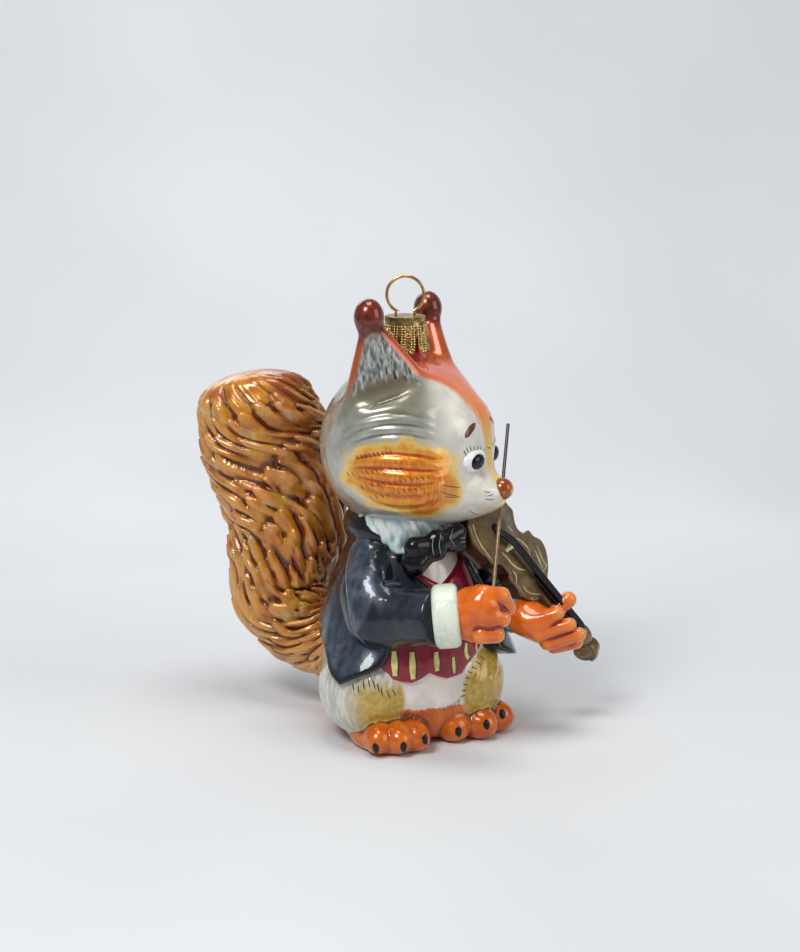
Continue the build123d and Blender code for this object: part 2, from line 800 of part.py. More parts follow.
pieces = {
    "torso": torso, "head": head, "glass_neck": neck, "muzzle": muzzle, "nose": nose,
    "eye_whites": eye_whites, "pupils": pupils, **ears, **thighs, **feet, "claws": claws,
    "waistcoat": waistcoat, "coat": coat, "neck_ruff": ruff, "bow_tie_knot": tie_knot,
    "bow_tie_wings": tie_wings, "sleeve_right": arms["right"], "sleeve_left": arms["left"],
    "cuff_right": cuffs["right"], "cuff_left": cuffs["left"], "hand_right": hand_right,
    "hand_left": hand_left, "tail": tail, "violin_body": violin_body,
    "violin_neck": violin_neck, "fingerboard": fingerboard, "violin_scroll": scroll,
    "violin_bridge": bridge, "violin_strings": strings, "bow_stick": bow, "cap": cap,
    "hanger": hanger,
}
os.makedirs("parts", exist_ok=True)
for name, piece in pieces.items():
    piece.part.label = name
    export_step(piece.part, f"parts/{name}.step")
print(len(pieces), "nodes")
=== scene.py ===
import math

import bpy
import numpy as np
import openvdb as vdb
from mathutils import Matrix, Vector
from mathutils.bvhtree import BVHTree


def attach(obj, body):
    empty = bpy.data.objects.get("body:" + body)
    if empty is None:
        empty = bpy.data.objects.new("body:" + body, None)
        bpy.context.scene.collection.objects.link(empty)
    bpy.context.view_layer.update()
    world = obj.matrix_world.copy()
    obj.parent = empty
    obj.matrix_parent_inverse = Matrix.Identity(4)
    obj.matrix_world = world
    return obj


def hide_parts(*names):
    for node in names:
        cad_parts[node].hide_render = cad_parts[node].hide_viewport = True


# Looks of the squirrel fiddler ornament. Places are in millimetres in the part's own frame
# until a mesh is made, which turns them into metres. The figure faces -Y, +Z is up.

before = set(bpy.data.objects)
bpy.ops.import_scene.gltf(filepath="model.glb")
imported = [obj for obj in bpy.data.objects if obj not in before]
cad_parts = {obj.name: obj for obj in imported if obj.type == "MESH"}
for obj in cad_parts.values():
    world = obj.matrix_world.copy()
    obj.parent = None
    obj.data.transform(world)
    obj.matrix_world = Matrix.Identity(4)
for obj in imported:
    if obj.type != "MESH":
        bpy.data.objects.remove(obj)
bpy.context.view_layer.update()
mm = 0.001
step = 0.42          # cell of the grids that the forms are grown on
hollow_reach = 0.73                         # how far apart places are that a crease is told by

# Camera, as the photograph was taken
photo_size = (800, 952)
camera_azimuth, camera_elevation = -30.0, 11.0
camera_distance, focal_px = 560.0, 1938.0
camera_target = np.array((-1.3, 0.75, 74.5))


def unit(v):
    v = np.asarray(v, float)
    return v / np.linalg.norm(v)


def turned(degrees):
    """Rows of a frame turned about Z: to the figure's left, to the front, up."""
    a = math.radians(degrees)
    return np.array(((math.cos(a), math.sin(a), 0), (math.sin(a), -math.cos(a), 0), (0, 0, 1)))


azimuth, elevation = math.radians(camera_azimuth), math.radians(camera_elevation)
camera_back = np.array((
    math.sin(azimuth) * math.cos(elevation),
    -math.cos(azimuth) * math.cos(elevation),
    math.sin(elevation),
))
camera_right = np.array((math.cos(azimuth), math.sin(azimuth), 0))
camera_up = np.cross(camera_back, camera_right)
camera_place = camera_target + camera_back * camera_distance


# Distance fields, in millimetres, below zero inside a form

def size(v):
    return np.sqrt((v * v).sum(-1))


def egg(p, middle, radii, axes=None):
    """A ball with three radii, along the rows of its axes."""
    q = p - np.asarray(middle, float)
    if axes is not None:
        q = q @ np.asarray(axes).T
    radii = np.asarray(radii, float)
    near = size(q / radii)
    return near * (near - 1) / np.maximum(size(q / radii**2), 1e-9)


def rod(p, start, end, start_radius, end_radius):
    """A tapered rod with round ends."""
    start, run = np.asarray(start, float), np.asarray(end, float) - np.asarray(start, float)
    t = np.clip(((p - start) @ run) / (run @ run), 0, 1)
    return size(p - start - t[:, None] * run) - start_radius - (end_radius - start_radius) * t


def chain(p, places, radii, soft):
    """Rods through a row of places, blended where they meet."""
    d = rod(p, places[0], places[1], radii[0], radii[1])
    for k in range(1, len(places) - 1):
        d = join(d, rod(p, places[k], places[k + 1], radii[k], radii[k + 1]), soft)
    return d


def join(a, b, soft):
    h = np.maximum(soft - np.abs(a - b), 0) / soft
    return np.minimum(a, b) - h * h * soft / 4


def meet(a, b, soft):
    return -join(-a, -b, soft)


def rise(x, low, high):
    """From 0 at low to 1 at high, smoothly."""
    t = np.clip((x - low) / (high - low), 0, 1)
    return t * t * (3 - 2 * t)


def bump(x, middle, width):
    return np.exp(-(((x - middle) / width) ** 2))


def outline_distance(x, y, corners):
    """Signed distance in a plane from a closed outline, below zero inside it."""
    corners = np.asarray(corners, float)
    best = np.full(x.shape, 1e9)
    inside = np.zeros(x.shape, bool)
    for (ax, ay), (bx, by) in zip(corners, np.roll(corners, -1, 0)):
        ex, ey = bx - ax, by - ay
        t = np.clip(((x - ax) * ex + (y - ay) * ey) / (ex * ex + ey * ey), 0, 1)
        best = np.minimum(best, np.hypot(x - ax - t * ex, y - ay - t * ey))
        if ay != by:
            inside ^= ((ay > y) != (by > y)) & (x < ex * (y - ay) / (by - ay) + ax)
    return np.where(inside, -best, best)


def bearing(p):
    """Degrees round the figure from its front."""
    return np.degrees(np.arctan2(p[:, 0], -p[:, 1]))


# Meshes

def slopes(field, p, reach=0.05):
    """The direction in which a field grows fastest, at each place."""
    g = np.stack([field(p + reach * e) - field(p - reach * e) for e in np.eye(3)], -1)
    return g / np.maximum(size(g), 1e-9)[:, None]


def hollows(p, normals, edges, cell):
    """How deep each vertex lies under its neighbours' middle, for painted shade in the creases and for
    painted highlights and edge colour on the ridges.
    """
    passes = max(round((hollow_reach / cell) ** 2), 1)
    count = np.bincount(edges.ravel(), minlength=len(p)).astype(float)[:, None]

    def middle(values):
        total = np.zeros_like(values)
        for a, b in ((0, 1), (1, 0)):
            for k in range(values.shape[1]):
                total[:, k] += np.bincount(edges[:, a], values[edges[:, b], k], len(p))
        return total / np.maximum(count, 1)

    smooth = p
    for _ in range(passes * 3):
        smooth = middle(smooth)
    depth = ((smooth - p) * normals).sum(-1)[:, None]
    for _ in range(passes):
        depth = middle(depth)
    return depth[:, 0]


def make_mesh(name, points, faces, smooth=True):
    """A mesh object of places in millimetres and faces with equal numbers of corners."""
    faces = np.asarray(faces, np.int32)
    mesh = bpy.data.meshes.new(name)
    mesh.vertices.add(len(points))
    mesh.vertices.foreach_set("co", (np.asarray(points, np.float32) * mm).ravel())
    mesh.loops.add(faces.size)
    mesh.loops.foreach_set("vertex_index", faces.ravel())
    mesh.polygons.add(len(faces))
    mesh.polygons.foreach_set("loop_start", np.arange(0, faces.size, faces.shape[1]))
    mesh.polygons.foreach_set("use_smooth", np.full(len(faces), smooth))
    mesh.update(calc_edges=True)
    mesh.validate()
    obj = bpy.data.objects.new(name, mesh)
    bpy.context.scene.collection.objects.link(obj)
    return obj


def keep_fields(obj, fields):
    for name, values in fields.items():
        attribute = obj.data.attributes.new(name, "FLOAT", "POINT")
        attribute.data.foreach_set("value", np.asarray(values, np.float32))


def keep_hollow(obj, points, normals, cell):
    edges = np.empty(len(obj.data.edges) * 2, np.int32)
    obj.data.edges.foreach_get("vertices", edges)
    keep_fields(obj, {"hollow": hollows(points, normals, edges.reshape(-1, 2), cell)})


def ring_faces(first, second):
    """Faces between two rings of numbered points."""
    return np.stack((first, np.roll(first, -1), np.roll(second, -1), second), -1)


def tube_faces(rows, turns):
    """Faces of a tube whose points are numbered ring by ring."""
    rings = np.arange(rows * turns).reshape(rows, turns)
    return np.vstack([ring_faces(*pair) for pair in zip(rings[:-1], rings[1:])])


def grow(name, field, low, high, relief=None, paint=None, fine=1.0):
    """A smooth mesh of the surface where a field is zero, raised by a relief. Paint gives
    named values at each place, for the material to read."""
    cell = step * fine
    low, high = np.asarray(low, float), np.asarray(high, float)
    axes = [np.arange(a, b + cell, cell) for a, b in zip(low, high)]
    values = np.empty([len(a) for a in axes], np.float32)
    y, z = np.meshgrid(axes[1], axes[2], indexing="ij")
    for i, x in enumerate(axes[0]):
        slab = np.stack([np.full(y.size, x), y.ravel(), z.ravel()], -1)
        values[i] = field(slab).reshape(y.shape)
    grid = vdb.FloatGrid(10.0)
    grid.copyFromArray(values)
    points, faces = grid.convertToQuads(0.0)
    points = points.astype(float) * cell + low
    for _ in range(2):
        points -= slopes(field, points) * field(points)[:, None]
    normals = slopes(field, points)
    a, b, c = (points[faces[:, k].astype(int)] for k in (0, 1, 2))
    facing_out = (np.cross(b - a, c - a) * normals[faces[:, 0].astype(int)]).sum() > 0
    faces = faces if facing_out else faces[:, ::-1]
    rest = points.copy()
    if relief:
        points = points + normals * relief(rest)[:, None]
    obj = make_mesh(name, points, faces)
    keep_hollow(obj, points, normals, cell)
    if paint:
        keep_fields(obj, paint(rest))
    return obj


trees = {}


def surface(obj):
    """A search tree over the faces of a mesh, in millimetres."""
    if obj.name not in trees:
        points = [v.co / mm for v in obj.data.vertices]
        trees[obj.name] = BVHTree.FromPolygons(points, [tuple(f.vertices) for f in obj.data.polygons])
    return trees[obj.name]


def seen(px, py, obj):
    """The place on a mesh that the photograph shows at a pixel."""
    ray = (-camera_back * focal_px + camera_right * (px - photo_size[0] / 2)
           + camera_up * (photo_size[1] / 2 - py))
    hit = surface(obj).ray_cast(Vector(camera_place), Vector(ray).normalized())[0]
    if hit is None:
        hit = Vector(camera_place) + Vector(ray).normalized() * camera_distance
    return np.array(hit)


def seen_row(row, obj):
    return np.array([seen(x, y, obj) for x, y in row])


def through(places, count):
    """Evenly shared points on a smooth line through some places."""
    places = np.asarray(places, float)
    if len(places) == 2:
        return places[0] + (places[1] - places[0]) * np.linspace(0, 1, count)[:, None]
    padded = np.vstack((2 * places[0] - places[1], places, 2 * places[-1] - places[-2]))
    out = []
    for t in np.linspace(0, len(places) - 1, count):
        k = min(int(t), len(places) - 2)
        a, b, c, d = padded[k:k + 4]
        s = t - k
        out.append(0.5 * (2 * b + (c - a) * s + (2 * a - 5 * b + 4 * c - d) * s**2
                          + (3 * b - a - 3 * c + d) * s**3))
    return np.array(out)


def brush(name, on, strokes, height, material, slot_name, *nodes, sunk=0.05, count=14, spread=5):
    """Raised strokes of paint on a mesh. Each stroke has its places, its width and how blunt
    its two ends are, from 0, pointed, to 1."""
    tree = surface(on)
    points, faces = [], []
    for places, width, blunt in strokes:
        line = through(places, count)
        base = len(points)
        found = [tree.find_nearest(Vector(q)) for q in line]
        spots = np.array([f[0] for f in found])
        ups = np.array([f[1] for f in found])
        runs = np.gradient(spots, axis=0)
        for k in range(count):
            t = k / (count - 1)
            half = width / 2 * max(math.sqrt(max(1 - abs(2 * t - 1) ** 2.2, 0)), blunt, 0.05)
            across = unit(np.cross(ups[k], runs[k]) + 1e-9)
            for j in range(spread):
                s = 2 * j / (spread - 1) - 1
                spot = spots[k] + across * s * half
                near = tree.find_nearest(Vector(spot))
                lift = height * (1 - s * s) - sunk * s * s
                points.append(np.array(near[0]) + np.array(near[1]) * lift)
        for k in range(count - 1):
            for j in range(spread - 1):
                a = base + k * spread + j
                faces.append((a, a + 1, a + 1 + spread, a + spread))
    return dress(make_mesh(name, points, faces), material, slot_name, "figure", *nodes)


# Node materials

def srgb(r, g, b):
    """A colour as a screen shows it, from 0 to 255, for a shader."""
    parts = [c / 255 for c in (r, g, b)]
    return tuple(c / 12.92 if c <= 0.04045 else ((c + 0.055) / 1.055) ** 2.4 for c in parts) + (1,)


class Coat:
    """One node material: a glossy coat over paints that are mixed in turn."""

    def __init__(self, name, roughness=0.3, metallic=0.0, coat=0.85):
        self.material = bpy.data.materials.new(name)
        self.material.use_nodes = True
        self.nodes = self.material.node_tree.nodes
        self.links = self.material.node_tree.links
        self.nodes.clear()
        output = self.nodes.new("ShaderNodeOutputMaterial")
        self.shader = self.nodes.new("ShaderNodeBsdfPrincipled")
        self.links.new(self.shader.outputs[0], output.inputs["Surface"])
        self.set("Roughness", roughness)
        self.set("Metallic", metallic)
        self.set("Coat Weight", coat)
        self.set("Coat Roughness", 0.04)
        self.set("Coat IOR", 1.5)
        self.set("Specular IOR Level", 0.2)
        place = self.nodes.new("ShaderNodeTexCoord")
        scaled = self.nodes.new("ShaderNodeVectorMath")
        scaled.operation = "SCALE"
        scaled.inputs["Scale"].default_value = 1 / mm
        self.links.new(place.outputs["Object"], scaled.inputs[0])
        self.place = scaled.outputs[0]

    def set(self, socket, value):
        self.put(self.shader.inputs[socket], value)

    def put(self, socket, value):
        """Links a socket, or sets it to a number or to a colour as a screen shows it."""
        if isinstance(value, bpy.types.NodeSocket):
            self.links.new(value, socket)
        else:
            socket.default_value = srgb(*value) if isinstance(value, tuple) else value

    def field(self, name):
        node = self.nodes.new("ShaderNodeAttribute")
        node.attribute_name = name
        return node.outputs["Fac"]

    def math(self, operation, a, b=0.0):
        node = self.nodes.new("ShaderNodeMath")
        node.operation = operation
        self.put(node.inputs[0], a)
        self.put(node.inputs[1], b)
        return node.outputs[0]

    def times(self, a, b):
        return self.math("MULTIPLY", a, b)

    def edge(self, value, low, high, to=(0.0, 1.0)):
        node = self.nodes.new("ShaderNodeMapRange")
        node.interpolation_type = "SMOOTHSTEP"
        for socket, number in zip(("Value", "From Min", "From Max", "To Min", "To Max"),
                                  (value, low, high, *to)):
            self.put(node.inputs[socket], number)
        return node.outputs[0]

    def noise(self, length, detail=3.0, stretch=(1, 1, 1), contrast=(0.3, 0.7)):
        """A cloudy pattern of a given wave length in millimetres, from 0 to 1."""
        mapping = self.nodes.new("ShaderNodeMapping")
        mapping.inputs["Scale"].default_value = stretch
        self.links.new(self.place, mapping.inputs["Vector"])
        node = self.nodes.new("ShaderNodeTexNoise")
        self.links.new(mapping.outputs[0], node.inputs["Vector"])
        node.inputs["Scale"].default_value = 1 / length
        node.inputs["Detail"].default_value = detail
        return self.edge(node.outputs["Fac"], *contrast)

    def mix(self, share, a, b):
        """Colour b over colour a by a share."""
        node = self.nodes.new("ShaderNodeMix")
        node.data_type = "RGBA"
        self.put(node.inputs["Factor"], share)
        self.put(node.inputs[6], a)
        self.put(node.inputs[7], b)
        return node.outputs[2]

    def mottle(self, length, detail, first, second, **pattern):
        """Clouds of one colour over another."""
        return self.mix(self.noise(length, detail, **pattern), first, second)

    def where(self, name, low, high, tone, colour, to=(0.0, 1.0)):
        """Another colour where a field of the mesh runs from one value to another."""
        return self.mix(self.edge(self.field(name), low, high, to), tone, colour)

    def finish(self, tone, metallic=None, length=5.0, depth=0.12):
        """Shows a colour, under a wavy coat."""
        self.set("Base Color", tone)
        if metallic is not None:
            self.set("Metallic", metallic)
        self.wavy_coat(length, depth)

    def wavy_coat(self, length=5.0, depth=0.12):
        """The slow waves of dipped lacquer, in the coat only."""
        node = self.nodes.new("ShaderNodeBump")
        node.inputs["Distance"].default_value = depth * mm
        self.put(node.inputs["Height"], self.noise(length, 1.0, contrast=(0, 1)))
        self.links.new(node.outputs[0], self.shader.inputs["Coat Normal"])


def mottled(name, length, detail, first, second, roughness=0.3, **looks):
    """A coat with clouds of one colour over another."""
    coat_of = Coat(name, roughness, **looks)
    coat_of.set("Base Color", coat_of.mottle(length, detail, first, second))
    return coat_of


def dress(obj, material, slot_name, body, *nodes):
    """Gives a piece its material, and says what it rides and stands for. Its slot name is not used."""
    obj.data.materials.clear()
    obj.data.materials.append(material.material)
    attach(obj, body)
    if nodes:
        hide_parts(*nodes)
    return obj


# Colours are read off the photograph
# Head: skull, cheeks, jaw and snout, with the ears grown out of it
head_middle = np.array((0, 0, 84.0))
head_frame = turned(35)
skull_radii = (24.9, 24.6, 24.9)
cheek_place, cheek_radii = (14.8, 5.6, -7.2), (10.6, 15.2, 11.2)
jaw_place, jaw_radii = (0, 14.6, -12.0), (13.6, 12.4, 9.4)
snout_place, snout_radii = (0, 25.0, -12.4), (7.4, 6.5, 5.2)
brow_place, brow_radii = (5.8, 18.0, 6.0), (6.5, 5.2, 6.0)
bridge_place, bridge_radii = (4.6, 18.3, -1.2), (6.5, 6.2, 8.2)
ear_foot, ear_top, ear_bulb = (13.0, 0.4, 12.5), (18.8, -1.8, 33.8), (19.8, -1.9, 37.0)
ear_wide, ear_thick = (14.2, 3.3), (9.4, 3.2)      # half widths at the foot and at the top
ear_bulb_radii = (4.3, 4.2, 5.2)
ear_run = np.subtract(ear_top, ear_foot)
ear_length = np.linalg.norm(ear_run)
ear_flare, near_ear_lift = 2.4, 1.4                # wider towards the face; the near ear is taller
ear_open_turn = math.radians(60.0)                 # outward from the face
ear_scoop = (0.54, 6.4, 8.4, 10.5, 2.3)            # along, out, half width, half height, depth


def head_local(p):
    """Places in the head's frame, with its far half mirrored onto the near one."""
    q = (p - head_middle) @ head_frame.T
    q[:, 0] = np.abs(q[:, 0])
    return q


def ear_local(q):
    """Along an ear from foot to top, across its opening and out of it."""
    along = unit(ear_run)
    a = ear_open_turn
    out = unit(np.array((math.sin(a), math.cos(a), 0)) - along * along[0] * math.sin(a))
    across = np.cross(along, out)
    v = q - np.asarray(ear_foot, float)
    return v @ along, v @ across, v @ out


def ear_side(p, q):
    """Places in the head's frame for an ear, let down where the near ear is taller."""
    near = (p - head_middle) @ head_frame[0] < 0
    low = np.zeros_like(q)
    low[:, 2] = near * near_ear_lift * rise(q[:, 2], 14, 34)
    return q - low


def ear_field(q):
    t, across, out = ear_local(q)
    s = np.clip(t / ear_length, 0, 1)
    wide = ear_wide[0] + (ear_wide[1] - ear_wide[0]) * s**0.95
    wide = wide + ear_flare * (1 - s) * (across > 0)
    thick = ear_thick[0] + (ear_thick[1] - ear_thick[0]) * s**0.8
    d = (np.sqrt((across / wide) ** 2 + (out / thick) ** 2) - 1) * thick * 0.9
    d = meet(d, np.maximum(t - ear_length, -t - 4), 1.0)
    share, stand, half, reach, deep = ear_scoop
    scoop = egg(np.stack((t, across, out), -1), (ear_length * share, 0, stand), (reach, half, deep))
    d = meet(d, -scoop, 4.5)
    return join(d, egg(q, ear_bulb, ear_bulb_radii), 1.8)


def head_field(p):
    q = head_local(p)
    d = egg(q, (0, 0, 0), skull_radii)
    d = join(d, egg(q, cheek_place, cheek_radii), 4.0)
    d = join(d, egg(q, jaw_place, jaw_radii), 6.0)
    d = join(d, egg(q, snout_place, snout_radii), 4.5)
    d = join(d, egg(q, brow_place, brow_radii), 5.0)
    d = join(d, egg(q, bridge_place, bridge_radii), 4.0)
    return join(d, ear_field(ear_side(p, q)), 3.5)


def head_angles(q):
    """Degrees round from the face, and up."""
    return np.degrees(np.arctan2(q[:, 0], q[:, 1])), np.degrees(np.arcsin(q[:, 2] / size(q)))


# Curved furrows over the cheek, and the fanned furrows on it: height at 70 degrees round
# from the face, fall towards the nose and the neck, and depth
temple_furrows = ((29, 9, 0.32), (22, 8, 0.38), (16, 8, 0.34))
cheek_furrows = ((3.5, 6, 0.5), (-5.5, 2, 0.6), (-14, -2, 0.6), (-22, -6, 0.5), (-30, -9, 0.4))


furrow_around, furrow_spread, furrow_width = 70, 32, 1.9           # degrees


def furrow(around, up, height, fall):
    bow = height - fall * ((around - furrow_around) / furrow_spread) ** 2
    return bump(up, bow, furrow_width)


def head_relief(p):
    q = head_local(p)
    around, up = head_angles(q)
    on_side = rise(around, 42, 52) * (1 - rise(around, 108, 120))
    h = np.zeros(len(p))
    for height, fall, depth in temple_furrows:
        h += depth * (0.5 - furrow(around, up, height, fall)) * on_side * bump(up, height, 9)
    on_cheek = rise(around, 36, 50) * (1 - rise(around, 98, 112))
    for height, fall, depth in cheek_furrows:
        h -= depth * furrow(around, up, height, fall) * on_cheek
    q = ear_side(p, q)
    t, across, out = ear_local(q)
    fan = across / ear_half(t, across) * 27 + np.sin(t * 0.9) * 0.8
    h += 0.30 * np.sin(fan) * np.sin(t * 0.62 + across * 0.5) * inner_ear(q)[1]
    return h


def ear_half(t, across):
    """Half width of the open side of an ear."""
    return 2.4 + np.clip(0.98 - t / ear_length, 0, 1) * (11.2 + 2.0 * (across > 0))


def inner_ear(q):
    """From 0 to 1, how much a place is in the open side of an ear, and in the fur there."""
    t, across, out = ear_local(q)
    inside = 1 - rise(np.abs(across) - ear_half(t, across), -1.6, -0.2)
    inside = inside * rise(out, 0.5, 2.0) * rise(ear_length * 1.02 - t, 0, 3)
    fringe = t + 0.9 * np.sin(across * 2.1) + 2.6 * (across / 9) ** 2
    return inside, inside * rise(fringe, 8.6, 10.8)


# Height over the head's middle and half width of the stripe on the face
stripe_rows = ((-8, 2.6), (-4, 2.2), (2, 2.4), (8, 3.0), (13, 3.9), (17, 5.8), (20, 8.6), (22, 12.4),
               (26, 20))
far_stripe_share = 0.42                            # the stripe is wider on the far side of the face


# Orange patches of the cheek: degrees round and up, and half their size each way
cheek_patch, low_patch, patch_tilt = (71, -10, 44, 22), (52, -20, 24, 19), 0.05


def patch_share(around, up, middle, height, half_wide, half_high):
    """From 0 in the middle of a patch to 1 at its edge."""
    return np.hypot((around - middle) / half_wide, (up - height) / half_high)


def head_paint(p):
    q = head_local(p)
    around, up = head_angles(q)
    side, front, high = q.T
    ear = ear_side(p, q)
    t, across, out = ear_local(ear)
    open_side, fur = inner_ear(ear)
    tilted = up + patch_tilt * (around - cheek_patch[0])
    patch = np.minimum(patch_share(around, tilted, *cheek_patch), patch_share(around, up, *low_patch))
    stripe_half = np.interp(high, *zip(*stripe_rows))
    on_far = (p - head_middle) @ head_frame[0] > 0
    side = np.where(on_far, side * far_stripe_share, side)
    return {
        "patch": patch,
        "stripe": (stripe_half - side) * rise(front, -8, 0) - 9 * (1 - rise(front, -8, 0)),
        "face": 1 - rise(around, 26, 62),
        "high": high,
        "ear": rise(t, 5, 12) * (1 - rise(ear_field(ear), 0.5, 2.0)) * (1 - open_side),
        "ear_high": t / ear_length,
        "ear_fur": fur, "ear_shade": open_side * rise(t, 2, 9),
    }


head = grow("head_shell", head_field, (-27, -32, 58), (28, 28, 131), head_relief, head_paint, 0.9)

paint = Coat("head_paint", roughness=0.28)
cloud = paint.noise(6, 4, contrast=(0.35, 0.65))
fine_cloud = paint.noise(1.6, 5, contrast=(0.35, 0.65))
hair = paint.noise(0.9, 3, stretch=(1, 1, 0.28), contrast=(0.35, 0.65))
hollow = paint.field("hollow")
# Share of painted shade in the creases, used in the cheek patch's furrows
deep = paint.edge(hollow, 0.0, 0.12)
skin = paint.mix(cloud, (150, 150, 140), (180, 180, 172))
skin = paint.mix(paint.times(paint.edge(paint.field("high"), 4, 16), 0.75), skin, (118, 113, 88))
# Painted shade: darker grey in the creases of the head
skin = paint.mix(paint.edge(hollow, 0.0, 0.08), skin, (92, 92, 76))
skin = paint.mix(paint.field("face"), skin, paint.mix(cloud, (222, 218, 206), (204, 200, 188)))
patch = paint.math("ADD", paint.field("patch"), paint.times(cloud, 0.22))
skin = paint.mix(paint.edge(patch, 1.22, 1.0), skin, (232, 196, 110))
skin = paint.mix(paint.edge(patch, 1.08, 0.82), skin, (224, 150, 40))
skin = paint.mix(paint.times(paint.edge(patch, 0.95, 0.5), hair), skin, (206, 104, 22))
# Painted shade: darker orange in the furrows of the cheek patch
skin = paint.mix(paint.times(paint.edge(patch, 1.0, 0.7), deep), skin, (170, 66, 14))
stripe = paint.math("ADD", paint.field("stripe"), paint.times(cloud, 1.2))
warm = paint.where("high", 0, 13, (232, 194, 112), (226, 124, 48))
warm = paint.where("high", 15, 23, warm, (206, 88, 52))
skin = paint.mix(paint.edge(stripe, -0.8, 2.4), skin, warm)
ear_tone = paint.where("ear_high", 0.1, 0.6, (214, 122, 44), (186, 84, 40))
ear_tip = paint.mix(fine_cloud, (128, 46, 22), (84, 24, 14))
ear_tone = paint.where("ear_high", 0.78, 1.0, ear_tone, ear_tip)
skin = paint.mix(paint.field("ear"), skin, ear_tone)
skin = paint.mix(paint.times(paint.field("ear_shade"), 0.7), skin, (112, 98, 70))
fur_tone = paint.mix(hair, (92, 96, 90), (186, 188, 182))
# Painted shade: dark grey in the grooves of the ear fur
fur_tone = paint.mix(paint.edge(hollow, 0.02, 0.09), fur_tone, (46, 44, 38))
skin = paint.mix(paint.field("ear_fur"), skin, fur_tone)
paint.finish(skin, paint.edge(paint.field("face"), 0.9, 0.0, (0.05, 0.34)))
dress(head, paint, "silver_grey", "figure", "head", "muzzle", "ear_right", "ear_left")

# Body: pear, thighs and feet in one blown form
hips = turned(-6)
pear_hip, pear_hip_height, pear_sole, pear_taper, pear_height = 24.5, 15.0, 15.5, 10.0, 41.0
trunk_top, sole_line = 60.5, 11.8                  # heights where the body and the feet's paint end
# Each thigh: its middle and its half sizes
thighs = (((-15.2, 7.2, 15.0), (13.7, 16.0, 14.0)), ((11.9, 9.4, 15.0), (14.2, 14.6, 13.8)))
# Each foot: its middle, its half sizes, how far it turns out, the turn from toe to toe, their
# reach and their half sizes
feet = (((-11.0, 12.2, 3.2), (11.4, 15.2, 6.8), -10, 27, 9.4, (4.7, 7.0, 4.8)),
        ((11.6, 7.6, 3.2), (11.0, 14.6, 6.6), 12, 38, 10.8, (5.4, 7.2, 5.2)))


def pear(z):
    """Half width of the body at a height."""
    low = np.sqrt(np.clip(1 - ((pear_hip_height - z) / pear_hip_height) ** 2, 0, 1))
    return np.where(z < pear_hip_height, pear_sole + (pear_hip - pear_sole) * low,
                    pear_hip - pear_taper * ((z - pear_hip_height) / pear_height) ** 2)


def trunk(p, swell=0.0):
    d = (np.hypot(p[:, 0], p[:, 1]) - pear(p[:, 2]) - swell) * 0.93
    return meet(meet(d, -p[:, 2], 2.0), p[:, 2] - trunk_top, 2.5)


def thigh_field(p):
    q = p @ hips.T
    return np.minimum(egg(q, *thighs[0]), egg(q, *thighs[1]))


def foot_field(p):
    def rows(turn):
        a = math.radians(turn)
        return np.array(((math.cos(a), -math.sin(a), 0), (math.sin(a), math.cos(a), 0), (0, 0, 1)))

    q, d = p @ hips.T, np.full(len(p), 1e3)
    for place, radii, out, toe_turn, toe_reach, toe_radii in feet:
        foot = egg(q, place, radii, rows(out))
        root = place + rows(out)[1] * 1.2 + (0, 0, 1.2)
        for k in (-1, 0, 1):
            ray = rows(out + k * toe_turn)
            foot = join(foot, egg(q, root + ray[1] * toe_reach, toe_radii, ray), 0.9)
        d = np.minimum(d, foot)
    return d


def body_field(p):
    d = join(trunk(p), thigh_field(p), 2.2)
    return meet(join(d, foot_field(p), 1.2), -p[:, 2], 1.2)


def body_relief(p):
    near = 1 - rise(thigh_field(p), -0.5, 1.5)
    wave = np.sin(p[:, 0] * 2.1 - p[:, 1] * 1.3 + np.sin(p[:, 2] * 0.5) * 1.4)
    return 0.10 * wave * near * rise(p[:, 2], 10, 16)


def body_paint(p):
    legs = thigh_field(p)
    under_line = sole_line - p[:, 2] + 0.25 * np.sin(p[:, 0] * 0.9 + np.sin(p[:, 0] * 2.9))
    between_legs = np.minimum(under_line, 0.5 * (legs - trunk(p)))
    return {
        "thigh": trunk(p) - legs,
        "foot": np.maximum(np.minimum(trunk(p), legs) - foot_field(p), between_legs),
        "far": (p @ hips.T)[:, 0],
        "around": bearing(p),
        "high": p[:, 2],
    }


body = grow("body_shell", body_field, (-31, -35, -1), (31, 27, 62), body_relief, body_paint)

paint = Coat("body_paint", roughness=0.25)
cloud = paint.noise(5, 4)
fine_cloud = paint.noise(1.5, 4)
fur = paint.noise(1.3, 3, stretch=(1, 1, 0.22), contrast=(0.4, 0.6))
deep = paint.edge(paint.field("hollow"), 0.0, 0.2)
belly = paint.mix(cloud, (230, 220, 208), (208, 200, 192))
thigh = paint.mix(fur, (214, 214, 204), (188, 188, 172))
olive = paint.mix(fine_cloud, (196, 168, 80), (172, 138, 52))
ring = paint.math("MAXIMUM", paint.edge(paint.field("high"), 24, 16), paint.edge(paint.field("far"), 0, 4))
thigh = paint.mix(paint.times(paint.edge(paint.field("around"), -66, -50), ring), thigh, olive)
belly = paint.where("thigh", -0.6, 0.4, belly, thigh)
belly = paint.mix(paint.edge(paint.math("ABSOLUTE", paint.field("around")), 62, 85), belly, thigh)
foot = paint.mix(cloud, (220, 116, 14), (196, 84, 8))
# Painted shade: dark brown in the creases between the toes
foot = paint.where("hollow", 0.015, 0.16, foot, (116, 52, 16))
belly = paint.where("foot", -0.3, 0.3, belly, foot)
paint.finish(belly, 0.12)
dress(body, paint, "pearl_white", "figure",
      "torso", "thigh_right", "thigh_left", "foot_right", "foot_left")

